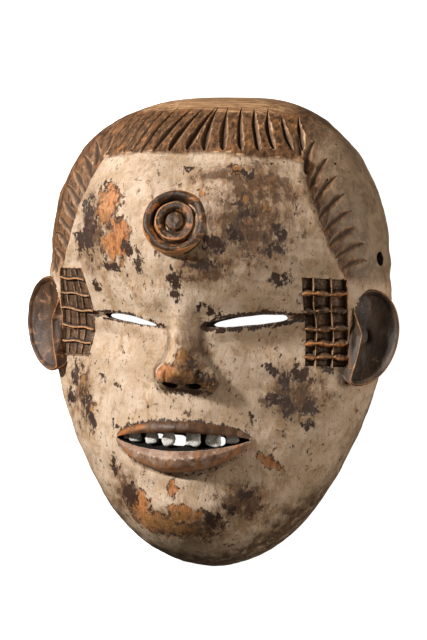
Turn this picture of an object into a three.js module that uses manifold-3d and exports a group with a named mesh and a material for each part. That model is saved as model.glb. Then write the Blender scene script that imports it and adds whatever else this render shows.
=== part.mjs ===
// A carved wooden face mask lying face up on its flat back rim.
// Millimetres. +X is the viewer's right, +Y points to the crown and +Z out of the face.
// The shell is one piece of wood: face, ears, temple grids, forehead disc and hair grooves.
// The seven teeth are separate pegs, set in sockets above the mouth.
import * as THREE from "three";
import { mergeVertices } from "three/addons/utils/BufferGeometryUtils.js";
import Module from "manifold-3d";

const wasm = await Module();
wasm.setup();

// Driving dimensions of the shell.
const halfWidth = 95.5;
const centreY = 25;
const crownReach = 102.6;
const chinReach = 151.5;
const crownPower = 2.28;
const chinPower = 1.87;
const powerTurn = 0.35;
const rimWall = 8;
const faceWall = 13;
const browHeight = 98;
const tuckDepth = 31;
const crownCut = { y: 126.2, lean: 0.1, tilt: 0.015, round: 5 };
const jaw = { bulge: 2.6, fromY: -40, fullY: -110, fromX: 5, fullX: -35 };

// Curves through a few places: [angle in degrees or y in mm, value].
const tuckKnots = [[-90, 1.5], [-60, 5], [-20, 5.8], [10, 7.2], [45, 4.6], [90, -1.5]];
const flankHeight = [
  [-90, 162.5], [-65, 150], [-40, 136], [-5, 123], [25, 125.5], [55, 123.5], [90, 117.5],
];
const flankPower = [
  [-90, 0.46], [-65, 0.52], [-40, 0.45], [-5, 0.44], [25, 0.36], [55, 0.245], [90, 0.43],
];
const sideProfile = [
  [-125, 40], [-110, 56], [-96, 63], [-80, 67], [-60, 72], [-35, 77], [0, 84],
  [20, 91], [54, browHeight], [75, 93], [91, 81], [105, 66], [125, 40],
];
const wedgeSlope = [[-125, 0.55], [-60, 0.6], [0, 0.68], [30, 0.72], [60, 0.74], [125, 0.8]];
const wedgeRound = [[-125, 30], [-60, 26], [0, 22], [30, 26], [60, 32], [125, 34]];
const flankBlend = 18;

// Driving dimensions of the eyes: the left slit is narrower and lies flatter than the right one.
const leftEye = { innerX: 15, outerX: 54.8, innerY: 2.4, outerY: 6.8, slitHalf: 2.4 };
const rightEye = { innerX: 11.4, outerX: 53.4, innerY: 3.2, outerY: 9.6, slitHalf: 2.7 };
const slitCurve = { arch: 0.6, drop: 0.5, fullness: 0.55, steps: 14 };
const brow = { ledge: 2.6, ledgeReach: 9, fade: 1.2 };
const lid = { rise: 1.4, below: 5, half: 4 };
const eyeRange = { from: 5, full: 20, fade: 50, end: 62 };
const sockets = [
  { x: 42, y: 1, halfX: 20, halfY: 15, depth: 5 },
  { x: 13, y: 1, halfX: 9, halfY: 9, depth: 2.5 },
];

// Driving dimensions of the nose.
const nose = { topY: 15, tipY: -20, baseY: -31, leanTop: 0.6, leanTip: 1.2, height: 14, under: 2 };
const bridge = { start: 2, half: 6.5, spread: 2.5, flare: 3, rise: 1.6, round: 1.8 };
const noseBall = { over: 0.5, halfX: 9.5, halfY: 11, full: 1.12 };
const noseWing = { x: 10.4, y: -24.5, height: 9, halfX: 5.8, halfY: 7.5, full: 1.1 };
const noseBlend = { lowest: -0.6, between: 3, under: 2, face: 2.5, sink: 0.6, fadeFrom: 9, fadeTo: -3 };
const noseSection = { reach: 19, across: 16, sunk: 4 };
const noseLevels = [21, 14, 6, -2, -9, -14, -18, -21, -24, -27, -28.4, -29.8];
const nostril = { x: 6.2, y: -29.6, above: 5, tilt: 35 };
const nostrilBore = { radius: 3.1, wide: 1.3, tall: 0.9, depth: 12, clear: 5 };

// Driving dimensions of the mouth: its line falls to the left, and the pocket behind the lips
// is pierced by a smaller window.
const mouth = { centreX: -2, halfWidth: 36.8, cornerY: -56.1, slant: 0.033 };
const mouthCurve = { topRise: 5.3, bottomDrop: 6.2, fullness: 0.8 };
const lipEdge = { cornerDrop: 1.5, drop: 16, over: 0.8, upper: 3 };
const mouthPocket = { depth: 11, above: 25, stations: 12, share: 0.985 };
const mouthWindow = { leftX: -18, rightX: 21, y: -56.9, half: 2.9, steps: 10 };
const lip = { out: 6, upperOut: 2.6, sunk: 5, stations: 12, sides: 9, inside: 1.5, upperInside: 2 };
const muzzle = { x: -1, y: -58, halfX: 40, halfY: 20, out: 6.5 };
const lipFold = { depth: 1.6, below: 1.2, half: 2.2 };
const chin = { x: 3, y: -94, halfX: 26, halfY: 15, out: 5 };

// Driving dimensions of the forehead disc, the hair and the temple blocks.
const disc = { x: -2.2, y: 54.6, radius: 17, sunk: 3, turns: 18 };
const discProfile = [
  [17, 1], [16, 2.6], [14, 3.3], [12, 2.6], [11, 1], [10.4, 2.2],
  [8.4, 3], [6.3, 2.2], [5.2, 1], [3.4, 2.4], [0, 3.1],
];
const panel = { hairlineY: 91, cornerX: 52.5, footX: 76, footY: 31, step: 2.4, reach: 16, hairRise: 1.4 };
const hairGroove = { middleX: 6, spacingRight: 9.2, spacingLeft: 8.2, toRight: 6, toLeft: 7 };
const hairEnd = { highY: 118.5, converge: 0.66, drop: 0.004 };
const cut = { half: 2.4, depth: 2.3, above: 1.2, stations: 2, fullness: 0.6 };

// Feet and tips of the notches beside the face panel, from the crown downwards.
const rightNotchFeet = [
  [54, 90.5], [57.6, 83.5], [60.8, 75.5], [63.8, 67.6], [66.4, 59.8],
  [69, 52.4], [71.4, 45.2], [73.6, 38.8], [76.4, 33.2],
];
const rightNotchTips = [
  [46.6, 109], [56.2, 100.6], [64.6, 92.5], [71.2, 83.6], [75.8, 74],
  [79.8, 65.2], [83, 56.8], [85.4, 48.4], [87.2, 39.6],
];
const leftNotchFeet = [
  [60.2, 84], [60, 76.4], [62.2, 68.2], [64.6, 60], [67.4, 52.4],
  [70.2, 45], [73, 38.2], [76, 32], [80.4, 27.2],
];
const leftNotchTips = [
  [64.6, 98], [71, 90.6], [75, 82.2], [77.8, 73.6], [80, 65],
  [81.8, 56.6], [84, 48.2], [86.4, 40], [88.8, 32.8],
];

const block = { inX: 57.5, outX: 78, lowY: -16.2, highY: 30, rise: 2.4, sunk: 3 };
const cell = { columns: 3, rows: 6, depth: 2.6, barX: 0.8, barY: 1.1, above: 1.5, taper: 0.6 };
const ear = { root: [79, 0.2, 45], tilt: 30, centre: 8, outHalf: 18.5, inHalf: 12, tall: 25.2, skew: 0.12 };
const earCarving = { dish: 5, back: 9, rootSunk: 9, rim: 1.5, rimAt: 0.88, rimHalf: 0.12 };
const earRidge = { out: 6.5, bendHigh: 5.5, bendLow: 4, high: 14, low: 20 };
const earPit = { depth: 3.5, a: 10, b: 0.5, halfA: 2.3, halfB: 3 };
const cordHole = { y: 41.5, z: 32, radius: 3.6 };

// Driving dimensions of the teeth: x, width across and drop below the upper lip.
const tooth = { depth: 3.8, setBack: 6.8, rootLength: 4.5, rootShare: 0.72, clearance: 0.3, sides: 8 };
const teeth = [
  { x: -34.7, width: 3.2, drop: 3.2 },
  { x: -28.6, width: 7.0, drop: 5.2 },
  { x: -17.8, width: 7.0, drop: 7.4 },
  { x: -7.6, width: 7.2, drop: 8.8 },
  { x: 5.6, width: 8.0, drop: 8.6 },
  { x: 15.5, width: 8.2, drop: 8.2 },
  { x: 24.6, width: 7.4, drop: 6.2 },
];

// Small helpers.
const clamp = (v, low, high) => Math.min(Math.max(v, low), high);
const bell = (v, half) => Math.exp(-((v / half) ** 2));

function smoothstep(a, b, v) {
  const t = clamp((v - a) / (b - a), 0, 1);
  return t * t * (3 - 2 * t);
}

function smoothMin(a, b, k) {
  const h = Math.max(k - Math.abs(a - b), 0) / k;
  return Math.min(a, b) - (h * h * k) / 4;
}

const smoothMax = (a, b, k) => -smoothMin(-a, -b, k);

// A smooth curve through the knots, level at both ends.
function curveThrough(knots, v) {
  const last = knots.length - 1;
  const x = clamp(v, knots[0][0], knots[last][0]);
  let i = 0;
  while (i < last - 1 && x > knots[i + 1][0]) i++;
  const slope = (j) => {
    if (j === 0 || j === last) return 0;
    const before = knots[j][0] - knots[j - 1][0];
    const after = knots[j + 1][0] - knots[j][0];
    const into = (knots[j][1] - knots[j - 1][1]) / before;
    const out = (knots[j + 1][1] - knots[j][1]) / after;
    return (into * after + out * before) / (before + after);
  };
  const h = knots[i + 1][0] - knots[i][0];
  const t = (x - knots[i][0]) / h;
  return (
    knots[i][1] * (2 * t ** 3 - 3 * t ** 2 + 1) +
    slope(i) * h * (t ** 3 - 2 * t ** 2 + t) +
    knots[i + 1][1] * (3 * t ** 2 - 2 * t ** 3) +
    slope(i + 1) * h * (t ** 3 - t ** 2)
  );
}

// The egg outline as a superellipse: how far it reaches at an angle about (0, centreY).
function reach(angle) {
  const s = Math.sin(angle);
  const power = chinPower + (crownPower - chinPower) * smoothstep(-powerTurn, powerTurn, s);
  const tall = s > 0 ? crownReach : chinReach;
  return (Math.abs(Math.cos(angle) / halfWidth) ** power + Math.abs(s / tall) ** power) ** (-1 / power);
}

// The plain form: a wedge-shaped front blended into steep flanks that fall to the rim.
function baseHeight(x, y) {
  const dy = y - centreY;
  const angle = Math.atan2(dy, Math.abs(x));
  const degrees = THREE.MathUtils.radToDeg(angle);
  const share = Math.max(1 - Math.hypot(x, dy) / reach(angle), 0);
  const flank = curveThrough(flankHeight, degrees) * share ** curveThrough(flankPower, degrees);
  const round = curveThrough(wedgeRound, y);
  const fall = curveThrough(wedgeSlope, y) * (Math.hypot(x, round) - round);
  return smoothMin(curveThrough(sideProfile, y) - fall, flank, flankBlend);
}

function basePoint(x, y) {
  return new THREE.Vector3(x, y, baseHeight(x, y));
}

function baseNormal(x, y) {
  const d = 0.4;
  const slopeX = (baseHeight(x + d, y) - baseHeight(x - d, y)) / (2 * d);
  const slopeY = (baseHeight(x, y + d) - baseHeight(x, y - d)) / (2 * d);
  return new THREE.Vector3(-slopeX, -slopeY, 1).normalize();
}

// Height of a slit's middle line, at a distance from the face's mid-line.
function eyeLine(eye, side) {
  const t = clamp((side - eye.innerX) / (eye.outerX - eye.innerX), -0.3, 1.3);
  return eye.innerY + (eye.outerY - eye.innerY) * t + slitCurve.arch * Math.sin(clamp(t, 0, 1) * Math.PI);
}

// Sunk eye sockets, a brow that overhangs the slit, and a low lid under it.
function eyeRelief(x, y) {
  const side = Math.abs(x);
  const d = y - eyeLine(x < 0 ? leftEye : rightEye, side);
  const along =
    smoothstep(eyeRange.from, eyeRange.full, side) * (1 - smoothstep(eyeRange.fade, eyeRange.end, side));
  const over = smoothstep(-brow.fade, brow.fade, d);
  const ledge = brow.ledge * Math.exp(-Math.max(d, 0) / brow.ledgeReach) * over;
  const lower = lid.rise * bell(d + lid.below, lid.half) * (1 - over);
  let sunk = 0;
  for (const s of sockets) sunk += s.depth * bell(side - s.x, s.halfX) * bell(y - s.y, s.halfY);
  return along * (ledge + lower) - sunk;
}

// A narrow bridge, a ball at the tip and two wings, cut off by a steep underside.
function noseRelief(x, y) {
  const { lowest } = noseBlend;
  const t = clamp((nose.topY - y) / (nose.topY - nose.tipY), 0, 1.4);
  const down = Math.min(t, 1);
  const dx = x - (nose.leanTop + (nose.leanTip - nose.leanTop) * down);
  const ridge = bridge.start * smoothstep(-0.15, 0.2, t) + (nose.height - bridge.start) * down ** bridge.rise;
  const half = bridge.half + bridge.spread * t + bridge.flare * smoothstep(0.6, 1, t);
  const spine = ridge * Math.max(1 - Math.abs(dx / half) ** bridge.round, lowest);
  const fromBall = (dx / noseBall.halfX) ** 2 + ((y - nose.tipY) / noseBall.halfY) ** 2;
  const ball = (nose.height + noseBall.over) * clamp(noseBall.full - fromBall, lowest, 1);
  const fromWing =
    ((Math.abs(dx) - noseWing.x) / noseWing.halfX) ** 2 + ((y - noseWing.y) / noseWing.halfY) ** 2;
  const wing = noseWing.height * clamp(noseWing.full - fromWing, lowest, 1);
  const full = smoothMax(smoothMax(spine, ball, noseBlend.between), wing, noseBlend.between);
  const under = smoothMin(full, (y - nose.baseY) * nose.under, noseBlend.under);
  const fade = smoothstep(nose.topY + noseBlend.fadeFrom, nose.topY + noseBlend.fadeTo, y);
  return (smoothMax(under, 0, noseBlend.face) - noseBlend.sink) * fade;
}

// The edges of the mouth at x: opening top and bottom, and the outer edges of both lips.
function mouthEdges(x) {
  const t = clamp((x - mouth.centreX) / mouth.halfWidth, -1, 1);
  const lens = 1 - t * t;
  const line = mouth.cornerY + mouth.slant * (x - mouth.centreX);
  const full = lens ** mouthCurve.fullness;
  const top = line + mouthCurve.topRise * lens ** 0.6;
  return {
    lens,
    top,
    bottom: line - mouthCurve.bottomDrop * full,
    lowest: line - lipEdge.cornerDrop - lipEdge.drop * full,
    highest: top + lipEdge.over + lipEdge.upper * Math.sqrt(lens),
  };
}

// The muzzle swells forward, with a shallow fold under the lower lip.
function muzzleRelief(x, y) {
  const { lens, lowest } = mouthEdges(x);
  const fold = lipFold.depth * bell(y - lowest + lipFold.below, lipFold.half) * lens ** 0.4;
  return muzzle.out * bell(x - muzzle.x, muzzle.halfX) * bell(y - muzzle.y, muzzle.halfY) - fold;
}

// The face panel stands proud of the hair at its slanting sides, and the fringe stands proud of it.
function hairRelief(x, y) {
  const side = Math.abs(x);
  const ex = panel.footX - panel.cornerX;
  const ey = panel.footY - panel.hairlineY;
  const outside = ((y - panel.hairlineY) * ex - (side - panel.cornerX) * ey) / Math.hypot(ex, ey);
  const range = smoothstep(panel.footY - 4, panel.footY + 4, y) * smoothstep(100, 88, y);
  const fall = smoothstep(-1, 3, outside) * Math.exp(-Math.max(outside, 0) / panel.reach);
  const fringe = smoothstep(panel.cornerX + 7, panel.cornerX, side);
  return panel.hairRise * smoothstep(-2, 2, y - panel.hairlineY) * fringe - panel.step * fall * range;
}

// The flank tucks in towards the rim, the crown is cut flat and the jaw swells to the left.
function settle(p) {
  const dy = p.y - centreY;
  const far = Math.hypot(p.x, dy) + 1e-9;
  const degrees = THREE.MathUtils.radToDeg(Math.atan2(dy, Math.abs(p.x)));
  const tuck = curveThrough(tuckKnots, degrees) * Math.max(1 - p.z / tuckDepth, 0) ** 2;
  const y = centreY + dy * (1 - tuck / far);
  const swell = jaw.bulge * smoothstep(jaw.fromY, jaw.fullY, y) * smoothstep(jaw.fromX, jaw.fullX, p.x);
  const cutY = crownCut.y + crownCut.tilt * p.x - crownCut.lean * p.z;
  return new THREE.Vector3(p.x * (1 - tuck / far) - swell, smoothMin(y, cutY, crownCut.round), p.z);
}

function facePoint(x, y) {
  const p = basePoint(x, y);
  p.addScaledVector(baseNormal(x, y), hairRelief(x, y));
  p.z += eyeRelief(x, y) + muzzleRelief(x, y);
  p.z += chin.out * bell(x - chin.x, chin.halfX) * bell(y - chin.y, chin.halfY);
  return settle(p);
}

// The hollow: the plain form drawn in by the wall.
function hollowPoint(x, y) {
  const p = settle(basePoint(x, y));
  const k = 1 - rimWall / reach(Math.atan2(y - centreY, Math.abs(x)));
  return new THREE.Vector3(p.x * k, centreY + (p.y - centreY) * k, p.z * (1 - faceWall / browHeight));
}

// Places from -1 to 1, packed closer where density is high.
function spacedLines(count, density) {
  const steps = 400;
  const sums = [0];
  for (let i = 0; i < steps; i++) sums.push(sums[i] + density(-1 + (2 * (i + 0.5)) / steps));
  const lines = [];
  for (let k = 0; k <= count; k++) {
    const wanted = (sums[steps] * k) / count;
    let i = 0;
    while (i < steps - 1 && sums[i + 1] < wanted) i++;
    lines.push(-1 + (2 * (i + (wanted - sums[i]) / (sums[i + 1] - sums[i]))) / steps);
  }
  return lines;
}

// A square grid drawn onto the disc, then onto the egg outline.
function eggPlace(u, v) {
  const a = u * Math.sqrt(1 - (v * v) / 2);
  const b = v * Math.sqrt(1 - (u * u) / 2);
  const angle = Math.atan2(b, a);
  const rho = Math.hypot(a, b);
  const r = reach(angle) * (0.65 * rho + 0.35 * Math.sin((rho * Math.PI) / 2));
  return [r * Math.cos(angle), centreY + r * Math.sin(angle)];
}

function solidOf(geometry) {
  const bare = new THREE.BufferGeometry();
  bare.setAttribute("position", geometry.getAttribute("position"));
  if (geometry.index) bare.setIndex(geometry.index);
  const merged = mergeVertices(bare, 1e-4);
  return new wasm.Manifold(
    new wasm.Mesh({
      numProp: 3,
      vertProperties: new Float32Array(merged.attributes.position.array),
      triVerts: new Uint32Array(merged.index.array),
    }),
  );
}

function geometryOf(solid) {
  const mesh = solid.getMesh();
  const position = new Float32Array(mesh.numVert * 3);
  for (let i = 0; i < mesh.numVert; i++) {
    for (let k = 0; k < 3; k++) position[i * 3 + k] = mesh.vertProperties[i * mesh.numProp + k];
  }
  const geometry = new THREE.BufferGeometry();
  geometry.setAttribute("position", new THREE.BufferAttribute(position, 3));
  geometry.setIndex(new THREE.BufferAttribute(new Uint32Array(mesh.triVerts), 1));
  geometry.computeVertexNormals();
  return geometry;
}

function meshGeometry(points, triangles) {
  const geometry = new THREE.BufferGeometry();
  const numbers = points.flatMap((p) => [p.x, p.y, p.z]);
  geometry.setAttribute("position", new THREE.Float32BufferAttribute(numbers, 3));
  geometry.setIndex(triangles);
  return geometry;
}

// A grid of points as a closed solid: the grid on top, its border dropped to a floor, a fan below.
function gridSolid(us, vs, place, floorZ) {
  const points = [];
  const triangles = [];
  const wide = us.length;
  for (const v of vs) for (const u of us) points.push(place(u, v));
  for (let j = 0; j < vs.length - 1; j++) {
    for (let i = 0; i < wide - 1; i++) {
      const a = j * wide + i;
      triangles.push(a, a + 1, a + wide + 1, a, a + wide + 1, a + wide);
    }
  }
  const border = [];
  for (let i = 0; i < wide - 1; i++) border.push(i);
  for (let j = 0; j < vs.length - 1; j++) border.push(j * wide + wide - 1);
  for (let i = wide - 1; i > 0; i--) border.push((vs.length - 1) * wide + i);
  for (let j = vs.length - 1; j > 0; j--) border.push(j * wide);
  const first = points.length;
  for (const k of border) points.push(new THREE.Vector3(points[k].x, points[k].y, floorZ));
  const middle = points.length;
  points.push(new THREE.Vector3(0, 0, floorZ));
  border.forEach((k, n) => {
    const next = (n + 1) % border.length;
    triangles.push(k, first + n, first + next, k, first + next, border[next]);
    triangles.push(middle, first + next, first + n);
  });
  return solidOf(meshGeometry(points, triangles));
}

// Rings of equal counts joined into a closed tube with a fan at each end.
function ringSolid(rings) {
  const points = rings.flat();
  const triangles = [];
  const sides = rings[0].length;
  for (let r = 0; r < rings.length - 1; r++) {
    for (let i = 0; i < sides; i++) {
      const a = r * sides + i;
      const b = r * sides + ((i + 1) % sides);
      triangles.push(a, b, b + sides, a, b + sides, a + sides);
    }
  }
  for (const [r, turn] of [[0, 1], [rings.length - 1, -1]]) {
    const middle = points.length;
    const sum = new THREE.Vector3();
    rings[r].forEach((p) => sum.add(p));
    points.push(sum.divideScalar(sides));
    for (let i = 0; i < sides; i++) {
      const a = r * sides + i;
      const b = r * sides + ((i + 1) % sides);
      triangles.push(...(turn > 0 ? [middle, b, a] : [middle, a, b]));
    }
  }
  const solid = solidOf(meshGeometry(points, triangles));
  return solid.volume() < 0 ? solidOf(meshGeometry(points, triangles.toReversed())) : solid;
}

// An outline in x and y pushed through the face along z.
function throughCut(outline) {
  const shape = new THREE.Shape(outline.map(([x, y]) => new THREE.Vector2(x, y)));
  const pushed = new THREE.ExtrudeGeometry(shape, { depth: 150, bevelEnabled: false });
  return solidOf(pushed.translate(0, 0, 10));
}

function eyeSlit(eye, side) {
  const outline = [];
  for (let k = 0; k < 2 * slitCurve.steps; k++) {
    const t = 1 - Math.abs(1 - k / slitCurve.steps);
    const x = eye.innerX + (eye.outerX - eye.innerX) * t;
    const half = eye.slitHalf * (4 * t * (1 - t)) ** slitCurve.fullness;
    outline.push([side * x, eyeLine(eye, x) - slitCurve.drop + (k < slitCurve.steps ? half : -half)]);
  }
  return throughCut(outline);
}

// The room behind the lips, in which the teeth stand.
function mouthPocketCut() {
  const rings = [];
  for (let k = 0; k <= mouthPocket.stations; k++) {
    const turn = Math.sin(Math.PI * (k / mouthPocket.stations - 0.5));
    const x = mouth.centreX + mouth.halfWidth * mouthPocket.share * turn;
    const { top, bottom } = mouthEdges(x);
    const floor = facePoint(x, (top + bottom) / 2).z - mouthPocket.depth;
    const corners = [[bottom, floor], [bottom, floor + mouthPocket.above]];
    corners.push([top, floor + mouthPocket.above], [top, floor]);
    rings.push(corners.map(([y, z]) => new THREE.Vector3(x, y, z)));
  }
  return ringSolid(rings);
}

function mouthWindowCut() {
  const outline = [];
  const middle = (mouthWindow.leftX + mouthWindow.rightX) / 2;
  for (let k = 0; k < 2 * mouthWindow.steps; k++) {
    const angle = (Math.PI * k) / mouthWindow.steps;
    const wide = Math.sign(Math.cos(angle)) * Math.sqrt(Math.abs(Math.cos(angle)));
    const x = middle + (mouthWindow.rightX - middle) * wide;
    outline.push([x, mouthWindow.y + mouth.slant * (x - middle) + mouthWindow.half * Math.sin(angle)]);
  }
  return throughCut(outline);
}

// A V cut shaped like a willow leaf, following the surface from one place to another.
function leafCut(from, to) {
  const rings = [];
  const heading = new THREE.Vector3().subVectors(basePoint(...to), basePoint(...from)).normalize();
  for (let k = 0; k <= cut.stations; k++) {
    const t = 0.03 + (0.94 * k) / cut.stations;
    const x = from[0] + (to[0] - from[0]) * t;
    const y = from[1] + (to[1] - from[1]) * t;
    const lens = (4 * t * (1 - t)) ** cut.fullness;
    const up = baseNormal(x, y);
    const at = basePoint(x, y).addScaledVector(up, hairRelief(x, y));
    const across = new THREE.Vector3().crossVectors(up, heading).normalize();
    const half = cut.half * lens + (cut.half * cut.above) / cut.depth;
    rings.push([
      at.clone().addScaledVector(up, cut.above).addScaledVector(across, half),
      at.clone().addScaledVector(up, cut.above).addScaledVector(across, -half),
      at.clone().addScaledVector(up, -cut.depth * lens),
    ]);
  }
  return ringSolid(rings);
}

function hairCuts() {
  const cuts = [];
  for (let i = -hairGroove.toLeft; i < hairGroove.toRight; i++) {
    const x = hairGroove.middleX + (i > 0 ? hairGroove.spacingRight : hairGroove.spacingLeft) * i;
    const tip = [x * hairEnd.converge, hairEnd.highY - hairEnd.drop * x * x];
    cuts.push(leafCut([x, panel.hairlineY + 1.5], tip));
  }
  rightNotchFeet.forEach((foot, i) => cuts.push(leafCut(foot, rightNotchTips[i])));
  const mirrored = ([x, y]) => [-x, y];
  leftNotchFeet.forEach((foot, i) => cuts.push(leafCut(mirrored(foot), mirrored(leftNotchTips[i]))));
  return cuts;
}

// A slab lying on the face between two heights above it, over a rectangle in x and y.
function faceSlab(x0, x1, y0, y1, low, high, across, along, taper = 0) {
  const rings = [];
  const at = (x, y, rise, shrink) => {
    const px = x + shrink * Math.sign((x0 + x1) / 2 - x);
    const py = y + shrink * Math.sign((y0 + y1) / 2 - y);
    return facePoint(px, py).addScaledVector(baseNormal(px, py), rise);
  };
  for (let j = 0; j <= along; j++) {
    const y = y0 + ((y1 - y0) * j) / along;
    const ring = [];
    for (let i = 0; i <= across; i++) ring.push(at(x0 + ((x1 - x0) * i) / across, y, high, 0));
    for (let i = across; i >= 0; i--) ring.push(at(x0 + ((x1 - x0) * i) / across, y, low, taper));
    rings.push(ring);
  }
  return ringSolid(rings);
}

// A raised block on the temple with rows and columns of sunk cells.
function templeBlock(side) {
  const { inX, outX, lowY, highY, rise, sunk } = block;
  const solid = faceSlab(side * inX, side * outX, lowY, highY, -sunk, rise, 3, 6);
  const wide = (outX - inX) / cell.columns;
  const tall = (highY - lowY) / cell.rows;
  const cells = [];
  for (let c = 0; c < cell.columns; c++) {
    for (let r = 0; r < cell.rows; r++) {
      const x0 = side * (inX + wide * c + cell.barX);
      const x1 = side * (inX + wide * (c + 1) - cell.barX);
      const y0 = lowY + tall * r + cell.barY;
      const y1 = lowY + tall * (r + 1) - cell.barY;
      cells.push(faceSlab(x0, x1, y0, y1, rise - cell.depth, rise + cell.above, 1, 1, cell.taper));
    }
  }
  return { solid, cells };
}

// Concentric rings turned about the forehead's own direction.
function foreheadDisc() {
  const profile = [[0, -disc.sunk], [disc.radius, -disc.sunk], ...discProfile];
  const lathe = new THREE.LatheGeometry(profile.map(([r, h]) => new THREE.Vector2(r, h)), disc.turns);
  const up = new THREE.Vector3(0, 1, 0);
  lathe.applyQuaternion(new THREE.Quaternion().setFromUnitVectors(up, baseNormal(disc.x, disc.y)));
  const at = basePoint(disc.x, disc.y);
  return solidOf(lathe.translate(at.x, at.y, at.z));
}

// Front of the ear: a dish with a raised rim, a bent inner ridge and a pit.
function earFront(a, b, rho) {
  const high = clamp((b - 1) / earRidge.high, 0, 1.5) ** 1.2;
  const low = clamp((1 - b) / earRidge.low, 0, 1.4) ** 1.2;
  const ridge = earRidge.out - earRidge.bendHigh * high - earRidge.bendLow * low;
  const outside = smoothstep(-0.6, 1.4, a - ridge);
  const dish = -earCarving.dish * (1 - rho ** 3) ** 0.8 * outside + 1 - outside;
  const fromRim = (rho - earCarving.rimAt) / earCarving.rimHalf;
  const rim = earCarving.rim * Math.sqrt(Math.max(1 - fromRim ** 2, 0)) * outside;
  return dish + rim - earPit.depth * bell(a - earPit.a, earPit.halfA) * bell(b - earPit.b, earPit.halfB);
}

// Rings of the ear's disc from its middle out to the edge, front and back.
function earSolid(side) {
  const turns = 20;
  const tilt = THREE.MathUtils.degToRad(ear.tilt);
  const outAxis = new THREE.Vector3(Math.cos(tilt), 0, -Math.sin(tilt));
  const facing = new THREE.Vector3(Math.sin(tilt), 0, Math.cos(tilt));
  const at = (rho, angle, front) => {
    const b = ear.tall * rho * Math.sin(angle);
    const half = Math.cos(angle) > 0 ? ear.outHalf : ear.inHalf;
    const a = ear.centre + half * rho * Math.cos(angle) + ear.skew * b;
    const carved = front
      ? earFront(a, b, rho) * smoothstep(1, 0.97, rho)
      : -earCarving.back * Math.sqrt(Math.max(1 - rho ** 2.6, 0));
    const w = carved - earCarving.rootSunk * smoothstep(2, -5, a);
    const p = new THREE.Vector3(...ear.root).addScaledVector(outAxis, a).addScaledVector(facing, w);
    return new THREE.Vector3(side * p.x, p.y + b, p.z);
  };
  const ringAt = (rho, front) =>
    Array.from({ length: turns }, (_, i) => at(rho, (2 * Math.PI * i) / turns, front));
  const rings = [0.06, 0.24, 0.42, 0.6, 0.76, 0.88, 0.96, 1].map((rho) => ringAt(rho, true));
  for (const rho of [0.95, 0.75, 0.4]) rings.push(ringAt(rho, false));
  return ringSolid(rings);
}

// Sections across the nose from the brow down to its underside, sunk into the face.
function noseSolid() {
  const rings = [...noseLevels, nose.baseY].map((y) => {
    const ring = [];
    for (let i = 0; i <= noseSection.across; i++) {
      const x = nose.leanTip + noseSection.reach * (1 - (2 * i) / noseSection.across);
      const p = facePoint(x, y);
      p.z += noseRelief(x, y);
      ring.push(p);
    }
    for (const side of [-1, 1]) {
      const p = facePoint(nose.leanTip + side * noseSection.reach, y);
      p.z -= noseSection.sunk;
      ring.push(p);
    }
    return ring;
  });
  return ringSolid(rings);
}

// A rounded roll lying on the face between two edges, thinning to both corners of the mouth.
function lipRoll(edgesAt, out) {
  const rings = [];
  for (let k = 0; k <= lip.stations; k++) {
    const turn = Math.sin(Math.PI * (k / lip.stations - 0.5));
    const x = mouth.centreX + mouth.halfWidth * mouthPocket.share * turn;
    const { lens, low, high } = edgesAt(x);
    const ring = [];
    for (let i = 0; i < lip.sides; i++) {
      const angle = (2 * Math.PI * i) / lip.sides;
      const y = (low + high) / 2 + ((high - low) / 2) * Math.cos(angle);
      const p = facePoint(x, y);
      const rise = Math.sin(angle);
      p.z += rise > 0 ? out * lens ** 0.4 * rise ** 0.8 : lip.sunk * rise;
      ring.push(p);
    }
    rings.push(ring);
  }
  return ringSolid(rings);
}

function lips() {
  const lower = (x) => {
    const { lens, bottom, lowest } = mouthEdges(x);
    return { lens, low: lowest, high: bottom + lip.inside };
  };
  const upper = (x) => {
    const { lens, top, highest } = mouthEdges(x);
    return { lens, low: top - lip.upperInside, high: highest };
  };
  return [lipRoll(lower, lip.out), lipRoll(upper, lip.upperOut)];
}

// A bore that opens under the wing of the nose and runs up and back into it.
function nostrilCut(side) {
  const { radius, wide, tall, depth, clear } = nostrilBore;
  const bore = new THREE.CylinderGeometry(radius * 0.6, radius, depth, 10);
  bore.scale(wide, 1, tall).translate(0, depth / 2 - clear, 0);
  bore.rotateX(THREE.MathUtils.degToRad(-nostril.tilt));
  const x = nose.leanTip + side * nostril.x;
  return solidOf(bore.translate(x, nostril.y, facePoint(x, nostril.y).z + nostril.above));
}

function cordHoleCut(side) {
  const bore = new THREE.CylinderGeometry(cordHole.radius, cordHole.radius, 40, 16).rotateZ(Math.PI / 2);
  return solidOf(bore.translate(side * 90, cordHole.y, cordHole.z));
}

// Sections of a tooth peg from the tip up to the root, wider by grow all round.
function toothRings(spec, grow, rootOnly) {
  const { top } = mouthEdges(spec.x);
  const z = facePoint(spec.x, top + 1).z - tooth.setBack;
  const edge = Math.max(
    mouthEdges(spec.x - spec.width / 2).bottom,
    mouthEdges(spec.x + spec.width / 2).bottom,
  );
  const low = Math.max(top - spec.drop, edge + 2 * tooth.clearance);
  const root = [top + tooth.rootLength + grow, tooth.rootShare];
  const peg = [[low, 0.8], [low + 0.9, 1], [top - 1.6, 0.92], [top, 0.78], root];
  const socket = [[top - 2.5, 0.94], [top, 0.84], root];
  const square = (v) => Math.sign(v) * Math.abs(v) ** 0.6;
  return (rootOnly ? socket : peg).map(([y, share]) =>
    Array.from({ length: tooth.sides }, (_, i) => {
      const angle = (2 * Math.PI * i) / tooth.sides;
      const halfX = (spec.width / 2) * share + grow;
      const halfZ = (tooth.depth / 2) * share + grow;
      const x = spec.x + halfX * square(Math.cos(angle));
      return new THREE.Vector3(x, y, z + halfZ * square(Math.sin(angle)));
    }),
  );
}

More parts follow.
